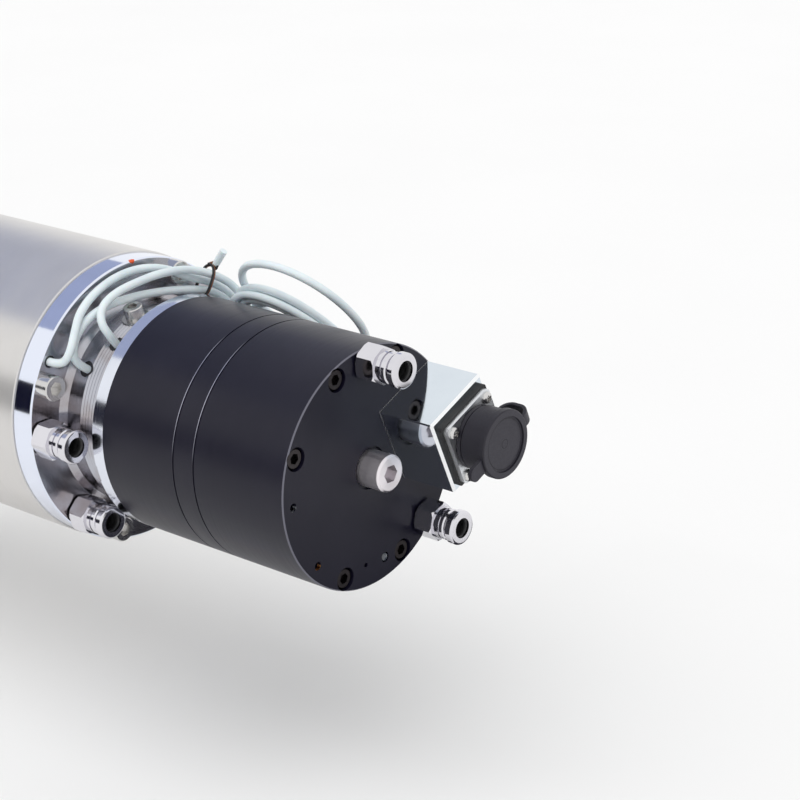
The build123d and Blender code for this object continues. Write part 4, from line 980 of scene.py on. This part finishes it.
def round_axis(x: float, angle: float, radius: float) -> Vector:
    """Point round the spindle's axis.

    Args:
        x: Place along the axis, in millimetres.
        angle: Angle from Y towards Z, in degrees.
        radius: Distance to the axis, in millimetres.

    Returns:
        The point, in metres.
    """
    turn = radians(angle)
    return Vector((x, radius * cos(turn), radius * sin(turn))) * MM


def leaning(x: float, slope: float, height: float, lean: float) -> Vector:
    """Point in the coil's leaning plane.

    Args:
        x: Place along X, in millimetres.
        slope: Place up the slope, in millimetres.
        height: Distance off the axis, in millimetres.
        lean: Angle of the plane, in degrees.

    Returns:
        The point, in metres.
    """
    turn = radians(lean)
    across = height * cos(turn) - slope * sin(turn)
    upward = height * sin(turn) + slope * cos(turn)
    return Vector((x, across, upward)) * MM


@dataclass(frozen=True)
class LeadPath:
    """Way of one lead, from its exit over the waist into the coil.

    Stations over the waist are (offset behind the flange, angle, radius). Those in the coil's
    leaning plane are (place along X, place up the slope, height), in millimetres and degrees.
    """

    over_waist: tuple[Place, ...]
    in_plane: tuple[Place, ...]
    coil: LeadCoil

    def points(self, flange: float, lean: float) -> list[Vector]:
        """Control points of the lead.

        Args:
            flange: Place of the flange's face along X, in millimetres.
            lean: Angle of the coil's plane, in degrees.

        Returns:
            The points, in metres.
        """
        places = [round_axis(flange + offset, angle, radius)
                  for offset, angle, radius in self.over_waist]
        places += [leaning(*station, lean) for station in self.in_plane]
        return places + self.coil.points(lean)


@dataclass
class Leads:
    """Three sensor leads, from their exits over the waist into the coil on the far side."""

    flange: float
    jacket: Material
    cores: dict[str, Material]
    radius: float = 2.1
    lean: float = 40.0
    core_radius: float = 0.65
    core_length: float = 16.0
    core_sunk: float = 2.0
    core_spread: tuple[float, ...] = (0.9, 1.2, 1.6)

    def paths(self) -> dict[str, LeadPath]:
        """Path of each lead.

        Returns:
            Paths by lead name.
        """
        x, slope = 190.5, -24.0
        loop_x, loop_slope = 205.0, 5.0
        speed_coil = LeadCoil((
            (164.0, x, slope, 42.4, 49.4, 64.0),
            (205.0, x, slope, 42.4, 49.4, 62.6),
            (510.0, x, slope, 38.4, 45.4, 62.6),
            (870.0, x, slope, 34.0, 41.0, 62.6),
            (1050.0, x, slope, 31.6, 38.6, 62.6),
        ), phase=0.4)
        clamp_coil = LeadCoil((
            (158.0, x, slope, 36.4, 43.4, 70.8),
            (235.0, x, slope, 29.6, 36.6, 70.8),
            (275.0, x, slope, 29.0, 36.0, 67.0),
            (480.0, x, slope, 27.6, 34.6, 67.0),
            (520.0, x + 4, slope + 8, 31.0, 36.0, 71.0),
            (570.0, loop_x, loop_slope, 36.6, 36.0, 71.0),
            (900.0, loop_x, loop_slope, 37.0, 36.4, 71.0),
            (990.0, loop_x, loop_slope - 3, 35.0, 33.4, 71.0),
        ), phase=4.0, waver=0.5)
        thermal_coil = LeadCoil((
            (168.0, x, slope, 42.2, 49.2, 69.4),
            (235.0, x, slope, 42.2, 49.2, 67.0),
            (510.0, x, slope, 38.6, 45.4, 66.9),
            (870.0, x, slope, 34.2, 41.0, 66.9),
            (1010.0, x, slope, 32.4, 39.2, 66.9),
        ), phase=2.1)
        return {
            "lead_speed": LeadPath(
                ((9.4, 147.0, 52.0), (9.4, 147.0, 60.5), (9.2, 143.2, 65.8), (9.0, 137.0, 68.6),
                 (8.8, 128.5, 68.5), (9.2, 118.0, 65.5), (10.5, 104.0, 61.0), (12.0, 88.0, 58.8),
                 (14.5, 71.0, 60.2)),
                ((152.8, 15.5, 62.8), (155.8, 3.0, 65.2)),
                speed_coil),
            "lead_clamp": LeadPath(
                ((19.4, 129.0, 52.0), (19.4, 129.0, 60.5), (16.8, 127.3, 66.5),
                 (13.2, 122.0, 69.6), (12.6, 113.0, 69.8), (13.2, 101.0, 68.3),
                 (14.4, 87.0, 69.0), (15.6, 71.0, 71.2)),
                ((157.8, 18.0, 70.0), (161.2, 7.0, 70.2)),
                clamp_coil),
            "lead_thermal": LeadPath(
                ((0.0, 150.2, 69.0), (9.0, 150.2, 69.0), (13.9, 145.2, 71.2), (12.6, 137.0, 73.4),
                 (7.6, 128.8, 73.4), (4.4, 118.0, 72.2), (3.6, 105.0, 71.6), (5.4, 92.0, 71.2),
                 (9.8, 80.5, 69.6), (13.0, 70.5, 66.2)),
                ((150.6, 15.5, 67.8), (153.6, 0.5, 70.2)),
                thermal_coil),
        }

    def build(self) -> None:
        """Lay the three leads and finish their far ends."""
        for name, path in self.paths().items():
            points = path.points(self.flange, self.lean)
            piece_name = name + "_jacket"
            lead = add_object(piece_name, round_line(piece_name, points, self.radius, 5, 8))
            put_on(lead, self.jacket)
            ends = self.bare_end(name, points[-1], (points[-1] - points[-2]).normalized())
            length = curve_length(lead)
            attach(lead, "housing")
            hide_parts(name, "lead_hank")
            log.info("%s, %.3f m", name, length)

    def bare_end(self, name: str, tip: Vector, heading: Vector) -> list[Piece]:
        """Three core wires that come out of the jacket's end.

        Args:
            name: The lead's name.
            tip: Where the jacket ends.
            heading: Direction of the jacket there.

        Returns:
            The wires.
        """
        side = heading.orthogonal().normalized()
        wires = []
        for i, (colour, material) in enumerate(self.cores.items()):
            out = Matrix.Rotation(tau * i / len(self.cores), 3, heading) @ side
            stages = (-self.core_sunk, self.core_length / 2, self.core_length)
            points = [tip + (heading * stage + out * spread) * MM
                      for stage, spread in zip(stages, self.core_spread)]
            wire = wire_piece(f"{name}_core_{colour}", points, self.core_radius, material)
            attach(wire, "housing")
            wires.append(wire)
        return wires


def curve_length(piece: Piece) -> float:
    """Length of a curve piece's own line, in metres.

    Args:
        piece: The curve object.

    Returns:
        The length.
    """
    copy = bpy.data.objects.new("measured_line", piece.data.copy())
    copy.data.bevel_depth = 0.0
    copy.data.use_fill_caps = False
    mesh = bpy.data.meshes.new_from_object(copy)
    places = [vertex.co for vertex in mesh.vertices]
    total = sum((places[edge.vertices[0]] - places[edge.vertices[1]]).length
                for edge in mesh.edges)
    bpy.data.meshes.remove(mesh)
    bpy.data.objects.remove(copy)
    return total


def round_line(name: str, points: list[Vector], radius: float, sides: int,
               steps: int) -> bpy.types.Curve:
    """Curve data of one smooth open line with a round section.

    Args:
        name: The data's name.
        points: Control points, in metres.
        radius: Radius of the section, in millimetres.
        sides: Fineness of the section.
        steps: Fineness between two points.

    Returns:
        The curve data.
    """
    data = bpy.data.curves.new(name, "CURVE")
    data.dimensions = "3D"
    data.bevel_depth = radius * MM
    data.bevel_resolution = sides
    data.use_fill_caps = True
    data.resolution_u = steps
    line = data.splines.new("NURBS")
    line.points.add(len(points) - 1)
    for knot, place in zip(line.points, points):
        knot.co = (*place, 1.0)
    line.order_u = 3
    line.use_endpoint_u = True
    return data


def smooth_piece(name: str, mesh: bpy.types.Mesh, material: Material) -> Piece:
    """Piece with a smoothly shaded mesh.

    Args:
        name: The piece's name.
        mesh: Its mesh.
        material: Its finish.

    Returns:
        The new piece.
    """
    piece = add_object(name, mesh)
    for face in mesh.polygons:
        face.use_smooth = True
    put_on(piece, material)
    return piece


def wire_piece(name: str, points: list[Vector], radius: float, material: Material) -> Piece:
    """Thin insulated wire as a mesh tube with closed ends.

    Args:
        name: The piece's name.
        points: Points that the wire passes near, in metres.
        radius: Its radius, in millimetres.
        material: Its finish.

    Returns:
        The new piece.
    """
    line = round_line(name + "_line", points, radius, 3, 6)
    shape = bpy.data.objects.new(name + "_line", line)
    mesh = bpy.data.meshes.new_from_object(shape)
    bpy.data.objects.remove(shape)
    return smooth_piece(name, mesh, material)


@dataclass
class WireTie:
    """Scrap of two-core cable whose wires are twisted round the leads."""

    flange: float
    jacket: Material
    cores: dict[str, Material]
    offset: float = 15.2
    angle: float = 61.0
    circle: float = 67.0
    half_height: float = 8.9
    half_width: float = 5.2
    wire_radius: float = 0.65
    stub_radius: float = 2.0
    points_per_turn: int = 14
    squareness: float = 3.0

    def place(self, along: float, outward: float, onward: float) -> Vector:
        """Point near the tie.

        Args:
            along: Offset along X, in millimetres.
            outward: Offset away from the axis, in millimetres.
            onward: Offset round the waist, in millimetres.

        Returns:
            The point, in metres.
        """
        base = round_axis(self.flange + self.offset + along, self.angle, self.circle + outward)
        turn = radians(self.angle)
        return base + Vector((0.0, -sin(turn), cos(turn))) * onward * MM

    def loop(self, start: float, turns: float, shift: float, drift: float) -> list[Vector]:
        """Points of a wire that runs round the bundle.

        Args:
            start: Angle at which it starts, in degrees.
            turns: How far it goes round.
            shift: Where it starts along the bundle.
            drift: How far it moves along the bundle.

        Returns:
            The points.
        """
        count = round(abs(turns) * self.points_per_turn)
        points = []
        for i in range(count + 1):
            part = i / count
            turn = radians(start) + tau * turns * part
            powers = abs(cos(turn)) ** self.squareness + abs(sin(turn)) ** self.squareness
            reach = powers ** (-1 / self.squareness)
            points.append(self.place(self.half_width * reach * cos(turn),
                                     self.half_height * reach * sin(turn), shift + drift * part))
        return points

    def build(self) -> None:
        """Wrap the wires and add the scrap's jacket that stands off the bundle."""
        brown = self.loop(75.0, 1.1, -1.5, 2.2)
        black = self.loop(95.0, -1.15, 1.4, -2.4)
        start = self.place(2.5, 10.0, -1.0)
        end = self.place(7.5, 17.0, 2.0)
        inside = start + (end - start).normalized() * 2 * MM
        brown.append(inside)
        black.append(inside + Vector((0.0, 0.8, 0.4)) * MM)
        stub = [start, (start + end) / 2, end]
        pieces = [wire_piece("tie_wire_brown", brown, self.wire_radius, self.cores["brown"]),
                  wire_piece("tie_wire_black", black, self.wire_radius, self.cores["black"]),
                  wire_piece("tie_jacket", stub, self.stub_radius, self.jacket)]
        for piece in pieces:
            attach(piece, "housing")
            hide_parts("lead_tie")
        log.info("wire tie, %d pieces", len(pieces))


@dataclass
class SocketLiner:
    """Dark seal and gripping collet inside one tube socket."""

    name: str
    body: str
    centre: Pair
    mouth: float
    material: Material
    bore: float = 5.02
    inner: float = 4.7
    depth: float = 17.0
    sunk: float = 1.4
    floor: float = 0.4
    ribs: int = 5
    rib_foot: float = 0.9
    rib_top: float = 0.4
    rib_height: float = 0.35

    def build(self) -> None:
        """Turn the liner on the socket's axis and let it ride on the release ring."""
        front, back = self.mouth - self.sunk, self.mouth - self.depth
        outline = [(back, 0.0), (back, self.inner)]
        for i in range(self.ribs):
            x = back + (front - back) * (i + 0.5) / self.ribs
            outline += [(x - self.rib_foot, self.inner),
                        (x - self.rib_top, self.inner - self.rib_height),
                        (x + self.rib_top, self.inner)]
        outline += [(front, self.inner), (front, self.bore), (back - self.floor, self.bore),
                    (back - self.floor, 0.0)]
        piece = turned_piece(self.name, outline, self.centre, self.material)
        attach(piece, self.body)


def turned_piece(name: str, outline: list[Pair], centre: Pair, material: Material,
                 steps: int = 48) -> Piece:
    """Closed mesh of revolution about an axis along X.

    Args:
        name: The piece's name.
        outline: (x, radius) points, in millimetres, from axis to axis.
        centre: Y and Z of the axis, in metres.
        material: Its finish.
        steps: Faces round the axis.

    Returns:
        The new piece.
    """
    shape = bmesh.new()
    rings = []
    for x, radius in outline:
        if radius == 0.0:
            rings.append([shape.verts.new((x * MM, centre[0], centre[1]))])
            continue
        rings.append([shape.verts.new((x * MM, centre[0] + radius * MM * cos(tau * i / steps),
                                       centre[1] + radius * MM * sin(tau * i / steps)))
                      for i in range(steps)])
    for before, after in zip(rings, rings[1:]):
        for i in range(steps):
            j = (i + 1) % steps
            corners = [before[i % len(before)], before[j % len(before)],
                       after[j % len(after)], after[i % len(after)]]
            unique = list(dict.fromkeys(corners))
            if len(unique) > 2:
                shape.faces.new(unique)
    bmesh.ops.recalc_face_normals(shape, faces=shape.faces)
    mesh = bpy.data.meshes.new(name)
    shape.to_mesh(mesh)
    shape.free()
    return smooth_piece(name, mesh, material)


def socket_liners(material: Material) -> None:
    """Line the four tube sockets, each on its release ring.

    Args:
        material: The liners' finish.
    """
    for i in range(1, 5):
        low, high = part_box(f"release_ring_{i}")
        centre = ((low[1] + high[1]) / 2, (low[2] + high[2]) / 2)
        SocketLiner(f"socket_liner_{i}", f"release_{i}", centre, high[0] / MM, material).build()
    log.info("socket liners")


def core_wires() -> dict[str, Material]:
    """Insulation of the leads' core wires.

    Returns:
        Materials by colour name.
    """
    colours = {"brown": (0.2, 0.07, 0.03), "black": (0.015, 0.015, 0.016),
               "blue": (0.02, 0.09, 0.5)}
    materials = {}
    for name, shade in colours.items():
        wear = tuple(part * 1.5 for part in shade)
        finish = Moulded(f"core_{name}", shade, wear, roughness=0.35, grain=1500.0)
        materials[name] = finish.build()
    return materials


def main() -> None:
    """Build the studio, dress the nodes and add the soft and fine pieces."""
    logging.basicConfig(level=logging.INFO, format="%(message)s")
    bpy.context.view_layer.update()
    Studio().build()
    finishes = Finishes()
    finishes.dress(frame["nodes"])
    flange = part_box("rear_housing")[1][0] / MM - WAIST_LENGTH
    jacket = finishes.jacket.build()
    cores = core_wires()
    Leads(flange, jacket, cores).build()
    WireTie(flange, jacket, cores).build()
    socket_liners(finishes.plastic.build())


if __name__ == "__main__":
    main()
